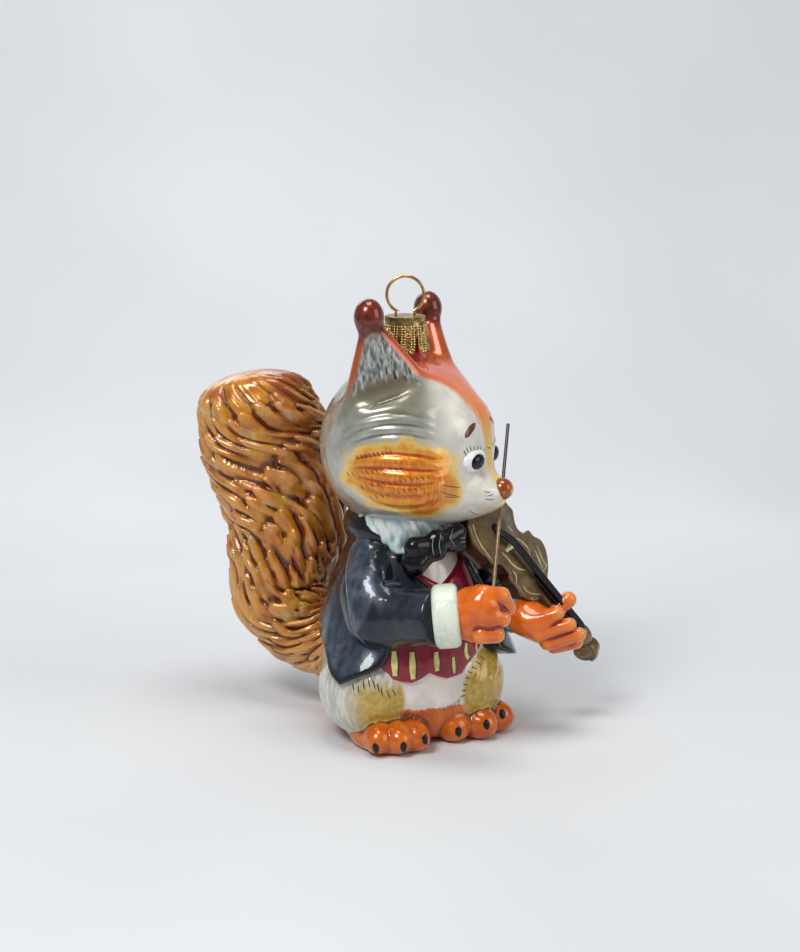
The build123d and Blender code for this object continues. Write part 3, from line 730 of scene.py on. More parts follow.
# Waistcoat and coat: areas of the body, drawn unrolled in degrees round and height
unroll = 0.41                               # millimetres to a degree at the body's surface
waistcoat_corners = ((-52, 36), (-47.7, 23.4), (-43.4, 20.4), (-36.3, 20.5), (-25.6, 19.8), (-19.4, 20.9),
                     (-13.8, 22.4), (-8.3, 21.2), (-1.4, 20.2), (10.2, 20.8), (15, 22.9), (30.4, 26.4),
                     (38, 31), (46, 45), (42, 54), (34.8, 51.4), (13.6, 48.2), (2.5, 46.2), (-5.9, 47.8),
                     (-14.2, 49.5), (-24, 49.5), (-34, 47), (-44, 43))
coat_corners = ((28, 62), (40, 52), (46, 44), (41, 33), (38, 26), (48, 23), (60, 21), (72, 21.5), (84, 26),
                (99, 32), (140, 36), (180, 38), (220, 33), (245, 29.5), (266.6, 27.5), (279.2, 24.5),
                (287.8, 21.3), (294.7, 19.4), (305.4, 22.6), (316.1, 25.1), (321.1, 29.5), (322, 44),
                (326, 54), (333, 62))
lapel_corners = ((325, 60), (326, 54), (336, 50.4), (351, 46), (346, 41), (322, 39), (309, 50), (309, 62))
collar_corners = ((64, 52), (62, 68), (290, 68), (293, 63.5), (337, 55.6), (337, 51))
collar_middle, collar_radii = (0, 0, 61.0), (18.0, 18.0, 9.0)
waistcoat_thick, coat_thick, lapel_thick = 1.3, 2.0, 3.2
flare_least, flare_more, flare_around, flare_wide = 0.5, 3.2, 62, 28       # of the coat's skirt


def unrolled(p, corners, first):
    """Distance from an area drawn on the body, whose degrees run on from the first."""
    round_z = (bearing(p) - first) % 360 + first
    corners = [(x * unroll, z) for x, z in corners]
    return outline_distance(round_z * unroll, p[:, 2], corners)


def waistcoat_field(p):
    area = unrolled(p, waistcoat_corners, -180)
    return meet(trunk(p, waistcoat_thick), area * 0.9, 1.2)


def coat_field(p):
    area = unrolled(p, coat_corners, 0)
    flare = flare_least + flare_more * bump(bearing(p), flare_around, flare_wide)
    flare = flare * (1 - rise(p[:, 2], 25, 54))
    d = meet(join(trunk(p), thigh_field(p), 3.0) - coat_thick - flare, area * 0.9, 1.4)
    lapel = unrolled(p, lapel_corners, 180)
    d = join(d, meet(trunk(p) - lapel_thick, lapel * 0.9, 1.6), 1.0)
    collar = unrolled(p, collar_corners, 0)
    return join(d, meet(egg(p, collar_middle, collar_radii), collar * 0.9, 1.6), 2.0)


def coat_relief(p):
    folds = np.sin(bearing(p) * 0.16 + p[:, 2] * 0.12)
    return 0.25 * folds * (1 - rise(p[:, 2], 30, 44))


def coat_paint(p):
    return {"rim": -unrolled(p, coat_corners, 0), "high": p[:, 2]}


def waistcoat_paint(p):
    return {"rim": -unrolled(p, waistcoat_corners, -180)}


waistcoat = grow("waistcoat_cloth", waistcoat_field, (-23, -29, 17), (21, -8, 61),
                 paint=waistcoat_paint)
coat = grow("coat_cloth", coat_field, (-34, -26, 17), (34, 30, 70), coat_relief, coat_paint)

paint = Coat("crimson_paint", roughness=0.2)
cloud = paint.noise(3, 4)
red = paint.mix(cloud, (150, 20, 44), (112, 10, 30))
# Painted shade: near black red in the creases of the waistcoat
red = paint.where("hollow", 0, 0.15, red, (60, 4, 16))
red = paint.where("rim", 1.0, 0.3, red, (172, 26, 44))
paint.finish(red, 0.25)
dress(waistcoat, paint, "crimson", "figure", "waistcoat")


def navy_paint(name, sheen):
    """Blue-black lacquer with a greyer bloom where a field says so."""
    coat_of = Coat(name, roughness=0.3)
    patches = coat_of.noise(9, 3, contrast=(0.38, 0.62))
    streaks = coat_of.noise(2.2, 4, stretch=(1, 1, 0.4))
    dark = coat_of.mix(streaks, (6, 8, 18), (13, 20, 36))
    bloom = coat_of.mix(streaks, (56, 68, 84), (88, 99, 112))
    share = coat_of.times(coat_of.edge(patches, 0.0, 0.9, (0.55, 1.0)), sheen(coat_of))
    tone = coat_of.mix(share, dark, bloom)
    # Painted shade: near black in the creases of the coat and sleeves
    tone = coat_of.where("hollow", 0.02, 0.2, tone, (6, 7, 12))
    coat_of.set("Coat Weight", 0.7)
    coat_of.finish(tone, 0.15, 4, 0.3)
    return coat_of


def coat_bloom(c):
    return c.times(c.edge(c.field("rim"), 0.8, 2.6), c.edge(c.field("high"), 46, 32))


dress(coat, navy_paint("coat_paint", coat_bloom), "navy", "figure", "coat")

# Fur ruff, with its points over the coat: degrees round and height of its lower edge
ruff_points = ((-72, 61.5), (-52, 58), (-36, 55.2), (-27, 55.6), (-12, 58), (18, 58), (40, 54.0),
               (75, 57), (120, 58), (180, 58), (240, 58))
ruff_middle, ruff_radii = np.array((0, 0, 63.0)), (16.0, 16.0, 11.0)


def ruff_field(p):
    around = bearing(p) % 360
    corners = sorted((x % 360, z) for x, z in ruff_points)
    rows = [(x - 360, z) for x, z in corners[-2:]] + corners + [(x + 360, z) for x, z in corners[:2]]
    low = np.interp(around, *zip(*rows))
    full = bump(bearing(p), -38, 31)
    d = join(egg(p, ruff_middle, ruff_radii) - 3.0 * full, trunk(p) + 0.6 - 5.0 * full, 2.0)
    return meet(d, (low - p[:, 2]) * 0.8, 2.0)


def ruff_relief(p):
    around = np.arctan2(p[:, 0], -p[:, 1])
    return 0.28 * np.sin(around * 26 + np.sin(p[:, 2] * 0.7) * 1.6)


ruff = grow("ruff_fur", ruff_field, (-23, -24, 50), (22, 20, 78), ruff_relief)
paint = Coat("ruff_paint", roughness=0.3)
tone = paint.mottle(6, 3, (206, 222, 222), (150, 204, 208))
tone = paint.mix(paint.noise(1.2, 3, stretch=(1, 1, 0.3)), tone, (226, 230, 226))
# Painted shade: greyer blue in the grooves of the ruff
tone = paint.where("hollow", 0.0, 0.12, tone, (130, 150, 156))
paint.finish(tone, 0.1)
dress(ruff, paint, "aqua_white", "figure", "neck_ruff")

# Sleeves: shoulder, upper arm, elbow and wrist, and the radius at each
arm_rows = {
    "right": (((-11.3, -4.3, 52.5), (-15.9, -9.3, 44.0), (-16.4, -13.7, 38.0), (-7.6, -31.6, 40.6)),
              (8.6, 8.5, 8.3, 8.0)),
    "left": (((13.5, -2.0, 52.5), (18.4, -3.2, 43.0), (19.2, -5.4, 38.4), (25.6, -16.0, 35.2)),
             (8.4, 8.0, 7.2, 6.2)),
}
elbow_folds = ((0.0, 1.2), (3.4, 0.9), (-3.4, 0.9))


def sleeve_field(side):
    places, radii = arm_rows[side]
    elbow, cuff_end = np.array(places[2]), np.array(places[3])
    reach = unit(cuff_end - elbow)
    inner = unit(unit(np.array(places[0]) - elbow) + reach)
    bend = np.cross(reach, inner)

    def field(p):
        d = chain(p, places, radii, 5.0)
        v = p - elbow - inner * radii[2]
        swirl = np.degrees(np.arctan2(v @ reach, v @ inner))
        crease = sum(depth * bump(swirl, turn * 12, 9) for turn, depth in elbow_folds)
        d = d + crease * (1 - rise(size(v), 3, 13)) * (1 - rise(np.abs(v @ bend), 5, 10))
        return meet(d, (p - cuff_end) @ reach, 0.8)
    return field


# Lighter panel of the near sleeve and the seam along it, in pixels of the photograph
panel_corners = ((366, 530), (352, 546), (346, 575), (348, 607), (355, 634), (366, 620), (375, 592),
                 (373, 552))
seam_row = ((370, 528.7), (357, 540), (349, 555), (346, 580), (348.7, 607), (355, 632), (366, 644))


def pixels(p):
    """Where the photograph shows some places."""
    v = p - camera_place
    away = -(v @ camera_back)
    return (photo_size[0] / 2 + v @ camera_right / away * focal_px,
            photo_size[1] / 2 - v @ camera_up / away * focal_px)


def sleeve_paint(side):
    elbow, wrist = np.array(arm_rows[side][0][2:])
    reach = unit(wrist - elbow)

    def paint_fields(p):
        return {"panel": -outline_distance(*pixels(p), panel_corners), "along": (p - elbow) @ reach}
    return paint_fields


def sleeve_bloom(c):
    return c.math("MAXIMUM", c.edge(c.field("panel"), -2.5, 2.5), c.edge(
        c.field("along"), -4, 8, (0.0, 0.26)))


for side, low, high in (("right", (-30, -38, 28), (0, 8, 64)), ("left", (2, -22, 27), (32, 9, 64))):
    sleeve = grow("sleeve_%s_cloth" % side, sleeve_field(side), low, high,
                  paint=sleeve_paint(side))
    dress(sleeve, navy_paint("sleeve_%s_paint" % side, sleeve_bloom), "navy", "figure",
          "sleeve_" + side)
    if side == "right":
        seam_paint = mottled("seam_paint", 1, 2, (128, 136, 142), (96, 104, 112))
        seam_strokes = [(seen_row(seam_row, sleeve), 0.55, 0.1)]
        brush("sleeve_seam", sleeve, seam_strokes, 0.12, seam_paint, "navy", count=30)

# Cuffs: start, a place on the axis beyond it, radius, and where they begin and end along it
cuff_rows = {
    "right": ((-9.4, -31.6, 41.0), (-2.6, -35.9, 41.8), 9.0, (0.0, 7.4)),
    "left": ((25.6, -15.6, 35.0), (28.8, -20.8, 33.1), 6.0, (0.2, 5.4)),
}


def cuff_field(side):
    start, end, radius, (low, high) = cuff_rows[side]
    start, reach = np.array(start), unit(np.subtract(end, start))

    def field(p):
        t = (p - start) @ reach
        r = size(p - start - t[:, None] * reach)
        wall = r - radius + 0.5 * ((t - (low + high) / 2) / (high - low)) ** 2
        return meet(wall, np.maximum(low - t, t - high), 2.0)
    return field


cuff_paint = Coat("cuff_paint", roughness=0.22)
tone = cuff_paint.mottle(5, 3, (232, 234, 210), (196, 220, 208))
glints = cuff_paint.noise(0.7, 4, stretch=(1, 1, 0.3), contrast=(0.4, 0.8))
tone = cuff_paint.mix(glints, tone, (238, 240, 222))
tone = cuff_paint.where("hollow", -0.12, -0.5, tone, (218, 212, 150))
cuff_paint.finish(tone)
mint_paint = mottled("cuff_left_paint", 3, 3, (150, 184, 180), (96, 138, 138), 0.22)
mint_paint.wavy_coat()
for side, low, high, material in (("right", (-21, -48, 28), (9, -18, 54), cuff_paint),
                                  ("left", (15, -30, 24), (38, -7, 46), mint_paint)):
    cuff = grow("cuff_%s_cloth" % side, cuff_field(side), low, high)
    dress(cuff, material, "cream_mint", "figure", "cuff_" + side)

# Hands, laid out as the camera sees them: to its right, towards it and up
level_back = unit(camera_back * (1, 1, 0))
view_rows = np.array((camera_right, level_back, (0, 0, 1)))
# Palm and fingers: two ends of each from the hand's middle, and the radius at each end
fist_middle = np.array((1.4, -40.2, 43.4))
fist_forms = (
    (((-2.4, 0, 0.4), (-0.4, 1.6, 1.8)), 6.6, 6.0),
    (((-2.0, 0, -3.0), (0.4, 1.0, -2.0)), 5.8, 5.4),
    (((0.2, 3.6, 5.6), (4.8, 3.0, 5.0)), 2.5, 2.4),
    (((4.8, 3.0, 5.0), (7.0, 1.6, 1.2)), 2.3, 2.0),
    (((0.6, 5.2, 0.2), (5.2, 3.8, -1.2)), 2.3, 2.3),
    (((-0.6, 5.0, -5.4), (3.4, 3.8, -5.6)), 2.6, 2.5),
)
palm_middle = np.array((31.0, -25.0, 32.0))
palm_forms = (
    (((-4.6, -0.5, 1.4), (5.2, -0.5, -3.4)), 4.6, 4.4),
    (((-3.4, 2.6, 0.6), (4.4, 3.4, 4.0)), 2.5, 2.1),
    (((-1.0, 3.0, -2.2), (8.0, 3.6, 0.8)), 2.4, 2.0),
    (((1.8, 2.4, -4.8), (10.8, 2.8, -2.4)), 2.4, 2.1),
    (((3.8, 0.8, -6.4), (10.2, 0.8, -5.2)), 2.3, 2.1),
    (((2.0, -8.0, -1.0), (8.6, -9.0, 4.9)), 2.5, 2.5),
)


def hand_field(middle, forms, wrist):
    def field(p):
        q = (p - middle) @ view_rows.T
        d = rod(p, wrist, middle, 5.4, 5.0)
        for k, ((start, end), first, last) in enumerate(forms):
            d = join(d, rod(q, start, end, first, last), 2.4 if k < 2 else 0.7)
        return d
    return field


hand_paint = Coat("hand_paint", roughness=0.22)
cloud = hand_paint.noise(4, 4)
tone = hand_paint.mix(cloud, (228, 112, 22), (204, 84, 12))
# Painted shade: dark red in the recesses between the fingers
tone = hand_paint.where("hollow", 0.008, 0.09, tone, (122, 30, 12))
# Painted highlight: lighter orange on the ridges of the knuckles and fingers
tone = hand_paint.where("hollow", -0.05, -0.25, tone, (228, 132, 52))
hand_paint.finish(tone, None, 3, 0.1)
for side, middle, forms, wrist, low, high in (
        ("right", fist_middle, fist_forms, (-2.6, -37.0, 42.0), (-12, -54, 30), (14, -28, 57)),
        ("left", palm_middle, palm_forms, (27.0, -18.5, 34.4), (16, -40, 18), (46, -8, 46))):
    hand = grow("hand_%s_form" % side, hand_field(middle, forms, wrist), low, high, fine=0.8)
    dress(hand, hand_paint, "orange", "figure", "hand_" + side)

# Bow tie: a knot and two wings of two folds each, with the ends and the radii of each
tie_forms = (
    ((-2.2, -21.4, 60.4), (-2.2, -21.6, 56.8), 2.7, 2.7),
    ((-2.4, -21.0, 59.2), (-9.0, -20.6, 58.6), 2.0, 3.0),
    ((-2.4, -21.2, 58.0), (-8.8, -20.8, 53.8), 2.2, 3.5),
    ((-1.4, -21.2, 59.4), (5.6, -19.9, 61.0), 2.0, 2.7),
    ((-1.4, -21.2, 58.8), (5.6, -20.0, 57.8), 1.9, 2.7),
)


def tie_field(p):
    d = rod(p, *tie_forms[0])
    for form in tie_forms[1:]:
        d = join(d, rod(p, *form), 1.6)
    return d


tie = grow("tie_silk", tie_field, (-14, -27, 48), (12, -14, 66), fine=0.8)
gloss_black = mottled("black_paint", 3, 4, (3, 3, 5), (9, 9, 13), 0.2)
gloss_black.set("Coat Weight", 0.4)
gloss_black.wavy_coat(2.5, 0.2)
dress(tie, gloss_black, "gloss_black", "figure", "bow_tie_knot", "bow_tie_wings")

# Eyes, set where the photograph shows the near one, and nose
eye_pixel = (476.6, 461.5)
eye_radii, pupil_radii = (4.8, 1.7, 3.4), (3.0, 1.5, 2.3)
eye_sunk, pupil_stand = 0.8, 0.2
nose_place, nose_radius = (0, 30.2, -10.7), 3.3
far_eye_shift, far_eye_sunk = (-1.0, -0.4, 0), 0.6
eye_spot = (seen(*eye_pixel, head) - head_middle) @ head_frame.T


def eye_axes(side):
    """Across, out of the face and up at one eye."""
    spot = eye_spot + (far_eye_shift if side < 0 else (0, 0, 0))
    out = unit(spot * (side, 1, 1))
    across = unit(np.cross(out, (0, 0, 1)))
    return np.array((across, out, np.cross(across, out)))


def eyes_field(radii, stand):
    def field(p):
        q = (p - head_middle) @ head_frame.T
        d = np.full(len(p), 1e3)
        for side in (-1, 1):
            axes = eye_axes(side)
            reach = np.linalg.norm(eye_spot) + stand - (far_eye_sunk if side < 0 else 0)
            d = np.minimum(d, egg(q, axes[1] * reach, radii, axes))
        return d
    return field


eye_white = mottled("eye_white_paint", 2, 2, (240, 240, 238), (226, 228, 228), 0.15)
eyes_low, eyes_high = (-4, -34, 72), (32, -6, 92)
whites = grow("eye_white_domes", eyes_field(eye_radii, -eye_sunk), eyes_low, eyes_high, fine=0.5)
dress(whites, eye_white, "eye_white", "figure", "eye_whites")
pupils = grow("pupil_beads", eyes_field(pupil_radii, pupil_stand), eyes_low, eyes_high, fine=0.4)
dress(pupils, gloss_black, "gloss_black", "figure", "pupils")
nose_middle = head_middle + np.array(nose_place) @ head_frame
nose = grow("nose_ball", lambda p: egg(p, nose_middle, (nose_radius, nose_radius, nose_radius * 0.96)),
            nose_middle - 5, nose_middle + 5, fine=0.6)
paint = Coat("nose_paint", roughness=0.18)
tone = paint.mix(paint.noise(5, 2, contrast=(0.42, 0.58)), (226, 178, 66), (150, 74, 24))
paint.set("Base Color", tone)
paint.set("Metallic", 0.4)
dress(nose, paint, "gold_brown", "figure", "nose")

# Tail: a tube through rows of places, raised in wavy locks. Each row has its place and its half
# sizes across the camera's view and along it
tail_rows = (
    (0, 6, 26, 9, 8), (-4, 16, 21.5, 10.5, 10), (-9, 26, 20.5, 12, 10.5), (-14.9, 34.7, 24, 13.4, 11.5),
    (-19, 41, 33, 15.0, 12.5), (-18.4, 42.2, 44, 16.8, 13.5), (-17.1, 43.2, 56, 18.6, 14),
    (-18.8, 44.7, 68, 19.4, 14.5), (-22.0, 46.6, 80, 20.2, 14.2), (-24.0, 47.0, 88, 18.8, 13.4),
    (-24.9, 47.4, 93.4, 17.0, 12.2), (-25.5, 47.7, 97.4, 14.4, 9.8), (-25.8, 47.9, 99.6, 10.8, 7.2),
    (-26.0, 48.0, 101.0, 5.2, 3.6),
)
lock_count = 20
tail_steps, tail_turns = ((300, 330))
lock_width, lock_length, lock_depth, lock_level = 4.9, 12.5, 2.1, 0.72
swell_depth, lump_depth, strand_depth = 0.9, 0.6, 0.08
# How far the locks wind round the tail by a height along it, in millimetres
lock_flow = ((0, 0), (30, 4), (60, 13), (85, 27), (105, 45), (125, 62))


def lock_relief(round_mm, along, shift):
    """Wavy locks that rise to a round tip, like slates, from 0 in the grooves to 1 at the tips."""
    x = round_mm + 1.9 * np.sin(along / 5.1 + round_mm / 9 + shift) + 0.7 * np.sin(along / 2.3 + shift * 2)
    column = np.floor(x / lock_width)
    scatter = np.sin(column * 12.9898 + shift * 7.1) * 43758.5453      # unlike from column to column
    offset = (scatter - np.floor(scatter)) * lock_length
    t = ((along + offset) / lock_length) % 1
    s = (x / lock_width - column) * 2 - 1
    half = np.sqrt(np.clip(1 - t**5, 0, 1)) * (0.7 + 0.3 * rise(t, 0, 0.3))
    across = np.clip(1 - (s / np.maximum(half, 0.05)) ** 2, 0, 1)
    return np.sqrt(across) * (0.28 + 0.72 * rise(t, 0.0, 0.8))


def tail_mesh():
    rows = through([r[:3] for r in tail_rows], tail_steps)
    girth = through([(r[3], r[4], 0) for r in tail_rows], tail_steps)[:, :2]
    girth[0] = girth[-1] = 0.02
    runs = np.gradient(rows, axis=0)
    along = np.concatenate(((0,), np.cumsum(size(np.diff(rows, axis=0)))))
    girth_mm = lock_count * lock_width
    turns = np.linspace(0, 2 * math.pi, tail_turns, endpoint=False)[:, None]
    points = []
    for k in range(tail_steps):
        run = unit(runs[k])
        broad = unit(camera_right - run * (run @ camera_right))
        thick = np.cross(run, broad)
        wide, deep = girth[k]
        ring = np.cos(turns) * broad * wide + np.sin(turns) * thick * deep
        out = np.cos(turns) * broad / wide + np.sin(turns) * thick / deep
        out /= size(out)[:, None]
        round_mm = (turns / (2 * math.pi) * girth_mm + np.interp(along[k], *zip(*lock_flow))) % girth_mm
        first = lock_relief(round_mm, along[k], 0.0)
        second = lock_relief(round_mm + lock_width / 2, along[k] + 9, 2.2)
        swell = np.sin(2 * turns + along[k] / 8.5) * np.sin(turns - along[k] / 13)
        strands = np.sin(round_mm * 3.3 + np.sin(along[k] / 3.1) * 2.4 + along[k] * 0.2)
        lift = np.maximum(first, second * 0.92)
        end = rise(along[-1] - along[k], 0, 6) * rise(along[k], 0, 12)
        lumps = np.sin(round_mm / 4.1 + along[k] / 5.3) * np.sin(along[k] / 4.4 - round_mm / 11)
        height = (lift - lock_level) * lock_depth + swell_depth * swell
        height = (height + lump_depth * lumps + strand_depth * strands) * end
        points.append(rows[k] + ring + out * height)
    points = np.vstack(points)
    obj = make_mesh("tail_fur", points, tube_faces(tail_steps, tail_turns))
    # How far round the tail a place lies towards the camera's right, for its painted highlight and painted
    # shade
    keep_fields(obj, {"side": np.tile(np.cos(turns[:, 0]), tail_steps)})
    normals = np.array([v.normal for v in obj.data.vertices])
    keep_hollow(obj, points, normals, along[-1] / tail_steps)
    return obj


tail = tail_mesh()
paint = Coat("tail_paint", roughness=0.26)
cloud = paint.noise(14, 3, contrast=(0.38, 0.62))
small = paint.noise(4, 4, contrast=(0.35, 0.65))
streak = paint.noise(1.4, 3, stretch=(1, 1, 0.2))
tone = paint.mix(cloud, (196, 104, 18), (178, 128, 36))
tone = paint.mix(paint.times(small, 0.8), tone, (218, 152, 48))
# Painted highlight on the tail's side to the camera's left, painted shade on its right side towards the
# body
tone = paint.where("side", -0.35, -0.95, tone, (226, 172, 104), (0.0, 0.6))
tone = paint.where("side", 0.1, 0.9, tone, (120, 54, 12), (0.0, 0.75))
pale = paint.edge(paint.noise(5.5, 2, contrast=(0.56, 0.66)), 0, 1, (0.0, 0.5))
tone = paint.mix(pale, tone, (200, 184, 128))
tone = paint.mix(paint.times(paint.noise(9, 3, contrast=(0.5, 0.66)), 0.7), tone, (146, 62, 18))
tone = paint.mix(paint.times(streak, 0.3), tone, (150, 74, 18))
# Painted shade: dark brown in the grooves between the locks
tone = paint.where("hollow", 0.02, 0.22, tone, (96, 42, 8))
# Painted highlight: lighter tan on the ridges of the locks
tone = paint.mix(paint.times(paint.edge(paint.field("hollow"), -0.05, -0.3), 0.6), tone,
                 (214, 150, 84))
paint.finish(tone, 0.15, 3, 0.15)
dress(tail, paint, "amber_brown", "figure", "tail")

# Violin, in its own frame: along from the chin end, across, and out of the top plate. Its half
# outline is places along it and across it
violin_origin = np.array((11.6, -17.1, 68.4))
violin_rows = np.array((unit((0.650, -0.071, -0.757)), (0, 0, 0), unit((0.389, -0.824, 0.412))))
violin_rows[1] = np.cross(violin_rows[2], violin_rows[0])
violin_half = ((0, 0), (1.0, 4.0), (3.2, 7.8), (6.4, 10.0), (9.8, 10.4), (13.0, 9.7), (15.6, 9.8),
               (17.4, 8.2), (19.6, 6.8), (22.4, 7.0), (24.0, 8.6), (26.4, 8.3), (29.6, 8.8), (33.0, 8.0),
               (35.8, 5.6), (37.3, 2.6), (37.6, 0))
violin_depth, plate, overhang, arch = 6.4, 1.3, 0.7, 0.9
violin_far_shares = (1.38, 1.68)              # how much wider its outer half is, above and below


def violin_local(p):
    return (p - violin_origin) @ violin_rows.T


def violin_world(q):
    return violin_origin + np.asarray(q, float) @ violin_rows


near_half = through([(x, y, 0) for x, y in violin_half], 60)[:, :2]
violin_corners = np.vstack((near_half, near_half[-2:0:-1] * (1, -1)))


def violin_field(p):
    a, b, c = violin_local(p).T
    b = np.where(b > 0, b / np.interp(a, (18, 30), violin_far_shares), b)
    edge = outline_distance(a, b, violin_corners)
    top = c - arch * rise(-edge, 0.5, 6.5)
    upper = meet(edge, np.maximum(top, -c - plate), 0.9)
    lower = meet(edge, np.maximum(c + violin_depth - plate, -c - violin_depth), 0.9)
    ribs = meet(edge + overhang, np.maximum(c + 0.4, -c - violin_depth + 0.4), 0.5)
    return np.minimum(np.minimum(upper, lower), join(ribs, upper, 0.5))


def violin_paint(p):
    return {"depth": -violin_local(p)[:, 2]}


violin = grow("violin_wood", violin_field, (4, -36, 34), (48, -6, 78), paint=violin_paint, fine=0.9)
bronze = Coat("bronze_paint", roughness=0.34, metallic=0.45)
grain = bronze.noise(2.6, 5, stretch=(0.4, 1, 1))
speck = bronze.noise(0.5, 2, contrast=(0.5, 0.75))
tone = bronze.mix(grain, (124, 98, 58), (90, 70, 40))
tone = bronze.mix(speck, tone, (128, 104, 64))
tone = bronze.where("depth", 0.9, 2.2, tone, (66, 40, 20))
# Painted shade: near black brown in the creases of the violin
tone = bronze.where("hollow", 0.0, 0.2, tone, (40, 26, 14))
bronze.finish(tone, None, 3, 0.1)
dress(violin, bronze, "bronze", "figure", "violin_body")

neck_ends, neck_radii = ((36.0, 0, -2.4), (57.0, 0, -2.2)), (2.4, 2.2)
pegbox_place, pegbox_radii = (56.6, 0.2, -0.6), (4.2, 2.9, 3.2)
scroll_middle, scroll_radius, scroll_half = (62.2, 0.2, -2.6), 4.4, 3.2


def neck_field(p):
    q = violin_local(p)
    return join(rod(q, *neck_ends, *neck_radii), egg(q, pegbox_place, pegbox_radii), 1.5)


def scroll_field(p):
    q = violin_local(p) - scroll_middle
    a, b, c = q.T
    r = np.hypot(a, c)
    turn = np.arctan2(c, -a)
    coil = r - scroll_radius * (0.86 + 0.10 * turn / math.pi)
    d = meet(coil, np.abs(b) - scroll_half + 0.25 * r, 1.0)
    spiral = np.sin(turn + r * 2.3)
    return d + 0.35 * rise(spiral, 0.1, 0.9) * rise(np.abs(b), 0.8, 1.4) * (1 - rise(r, 3.6, 4.6))


neck_piece = grow("violin_neck_wood", neck_field, (30, -34, 14), (60, -8, 50), fine=0.8)
scroll = grow("violin_scroll_wood", scroll_field, (42, -36, 10), (62, -10, 34), fine=0.7)
for piece, node in ((neck_piece, "violin_neck"), (scroll, "violin_scroll")):
    keep_fields(piece, {"depth": np.zeros(len(piece.data.vertices))})
    dress(piece, bronze, "bronze", "figure", node)


def tube(name, places, radius, sides=8, count=40):
    """A round wire through some places, with narrowed ends."""
    line = through(places, count)
    girth = np.full(count, radius)
    girth[0] = girth[-1] = radius * 0.35
    runs = np.gradient(line, axis=0)
    first = unit(np.cross(runs[0], (0.31, 0.52, 0.79)))
    turns = np.linspace(0, 2 * math.pi, sides, endpoint=False)[:, None]
    points = []
    for k in range(count):
        run = unit(runs[k])
        first = unit(first - run * (run @ first))
        second = np.cross(run, first)
        points.append(line[k] + girth[k] * (np.cos(turns) * first + np.sin(turns) * second))
    return make_mesh(name, np.vstack(points), tube_faces(count, sides))


def merged(name, *objs):
    """Several meshes as one object."""
    bpy.ops.object.select_all(action="DESELECT")
    for o in objs:
        o.select_set(True)
    bpy.context.view_layer.objects.active = objs[0]
    bpy.ops.object.join()
    objs[0].name = name
    return objs[0]


# Along the violin, share of the offset across it and height over its top
string_rows = ((9.6, 0.7, 1.0), (14.0, 0.9, 2.0), (18.0, 1, 3.0), (26.0, 0.95, 2.8), (40.0, 0.85, 2.4),
               (55.0, 0.7, 2.2))
string_offsets, string_radius = (-1.0, 0.0, 1.0), 0.48
strings = merged("violin_string_set", *[
    tube("string", violin_world(np.array(string_rows) * (1, offset, 1)), string_radius)
    for offset in string_offsets])
dress(strings, gloss_black, "gloss_black", "figure", "violin_strings")
# Fingerboard and bridge: middle and half sizes along the violin, across it and out of its top
board_middle, board_half = (42.0, 0, 0.9), (12.0, 1.5, 0.7)
bridge_middle, bridge_half, bridge_taper = (18.0, 0, 1.4), (0.5, 3.0, 1.3), 0.45


def board_field(p):
    a, b, c = (np.abs(violin_local(p) - board_middle) - board_half).T
    return meet(meet(b, c, 0.6), a, 0.6)


def bridge_field(p):
    a, b, c = (np.abs(violin_local(p) - bridge_middle) - bridge_half).T
    return meet(meet(a, c, 0.4), b + bridge_taper * violin_local(p)[:, 2], 0.4)


board = grow("fingerboard_wood", board_field, (24, -34, 20), (56, -12, 56), fine=0.9)
dress(board, gloss_black, "gloss_black", "figure", "fingerboard")
bridge = grow("bridge_wood", bridge_field, (16, -26, 48), (32, -12, 62), fine=0.5)
dress(bridge, cuff_paint, "cream_mint", "figure", "violin_bridge")

gold_line = mottled("gold_line_paint", 0.4, 3, (214, 190, 136), (176, 146, 90), metallic=0.8)
gold_rows = (
    ((513.6, 538.5), (519.7, 539.7), (527, 547), (530, 555)),
    ((501.5, 552), (507.5, 558), (512.4, 564), (519.7, 569), (525.7, 570)),
    ((536.6, 546), (541.5, 558), (546, 567.5), (550, 580)), ((534, 549), (539, 560), (543, 569)),
    ((507.5, 526), (512, 531)), ((523, 586), (527, 591), (533, 593.5), (543, 594)),
    ((512.4, 570), (516, 576), (516.5, 584.5)), ((472.4, 524), (478.5, 541), (492, 560)),
    ((546, 595), (551, 599)),
)
gold_strokes = [(seen_row(row, violin), 0.75, 0.2) for row in gold_rows]        # width, bluntness
brush("violin_gold_lines", violin, gold_strokes, 0.22, gold_line, "bronze")

# The bow stick and the hanger stay the solids of the frame; the stick is dark above, brass below
bow_paint = Coat("bow_paint", roughness=0.35, metallic=0.5)
separate = bow_paint.nodes.new("ShaderNodeSeparateXYZ")
bow_paint.links.new(bow_paint.place, separate.inputs[0])
tone = bow_paint.mottle(1.2, 3, (150, 122, 78), (120, 96, 60))
tone = bow_paint.mix(bow_paint.edge(separate.outputs[2], 68, 72), tone, (64, 44, 34))
bow_paint.set("Base Color", tone)
gold_wire = mottled("gold_wire", 2, 3, (206, 172, 104), (186, 146, 80), 0.22, metallic=1.0, coat=0.2)
for node, coat_of in (("bow_stick", bow_paint), ("hanger", gold_wire)):
    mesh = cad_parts[node].data
    mesh.materials.clear()
    mesh.materials.append(coat_of.material)
    for face in mesh.polygons:
        face.material_index = 0

# Red glass neck under the cap, with an open bore for the hanger's legs
neck_outer, neck_bore, neck_middle, neck_half = 5.2, 4.2, 112.5, 8.0


def neck_glass_field(p):
    r = np.hypot(p[:, 0], p[:, 1])
    wall = meet(r - neck_outer, neck_bore - r, 0.2)
    return meet(wall, np.abs(p[:, 2] - neck_middle) - neck_half, 0.4)


neck_glass = grow("neck_glass_tube", neck_glass_field, (-6, -6, 103.5), (6, 6, 121.5), fine=0.6)
red_glass = mottled("red_glass", 4, 3, (218, 46, 18), (176, 26, 12), 0.12, metallic=0.1)
dress(neck_glass, red_glass, "red_glass", "figure", "glass_neck")

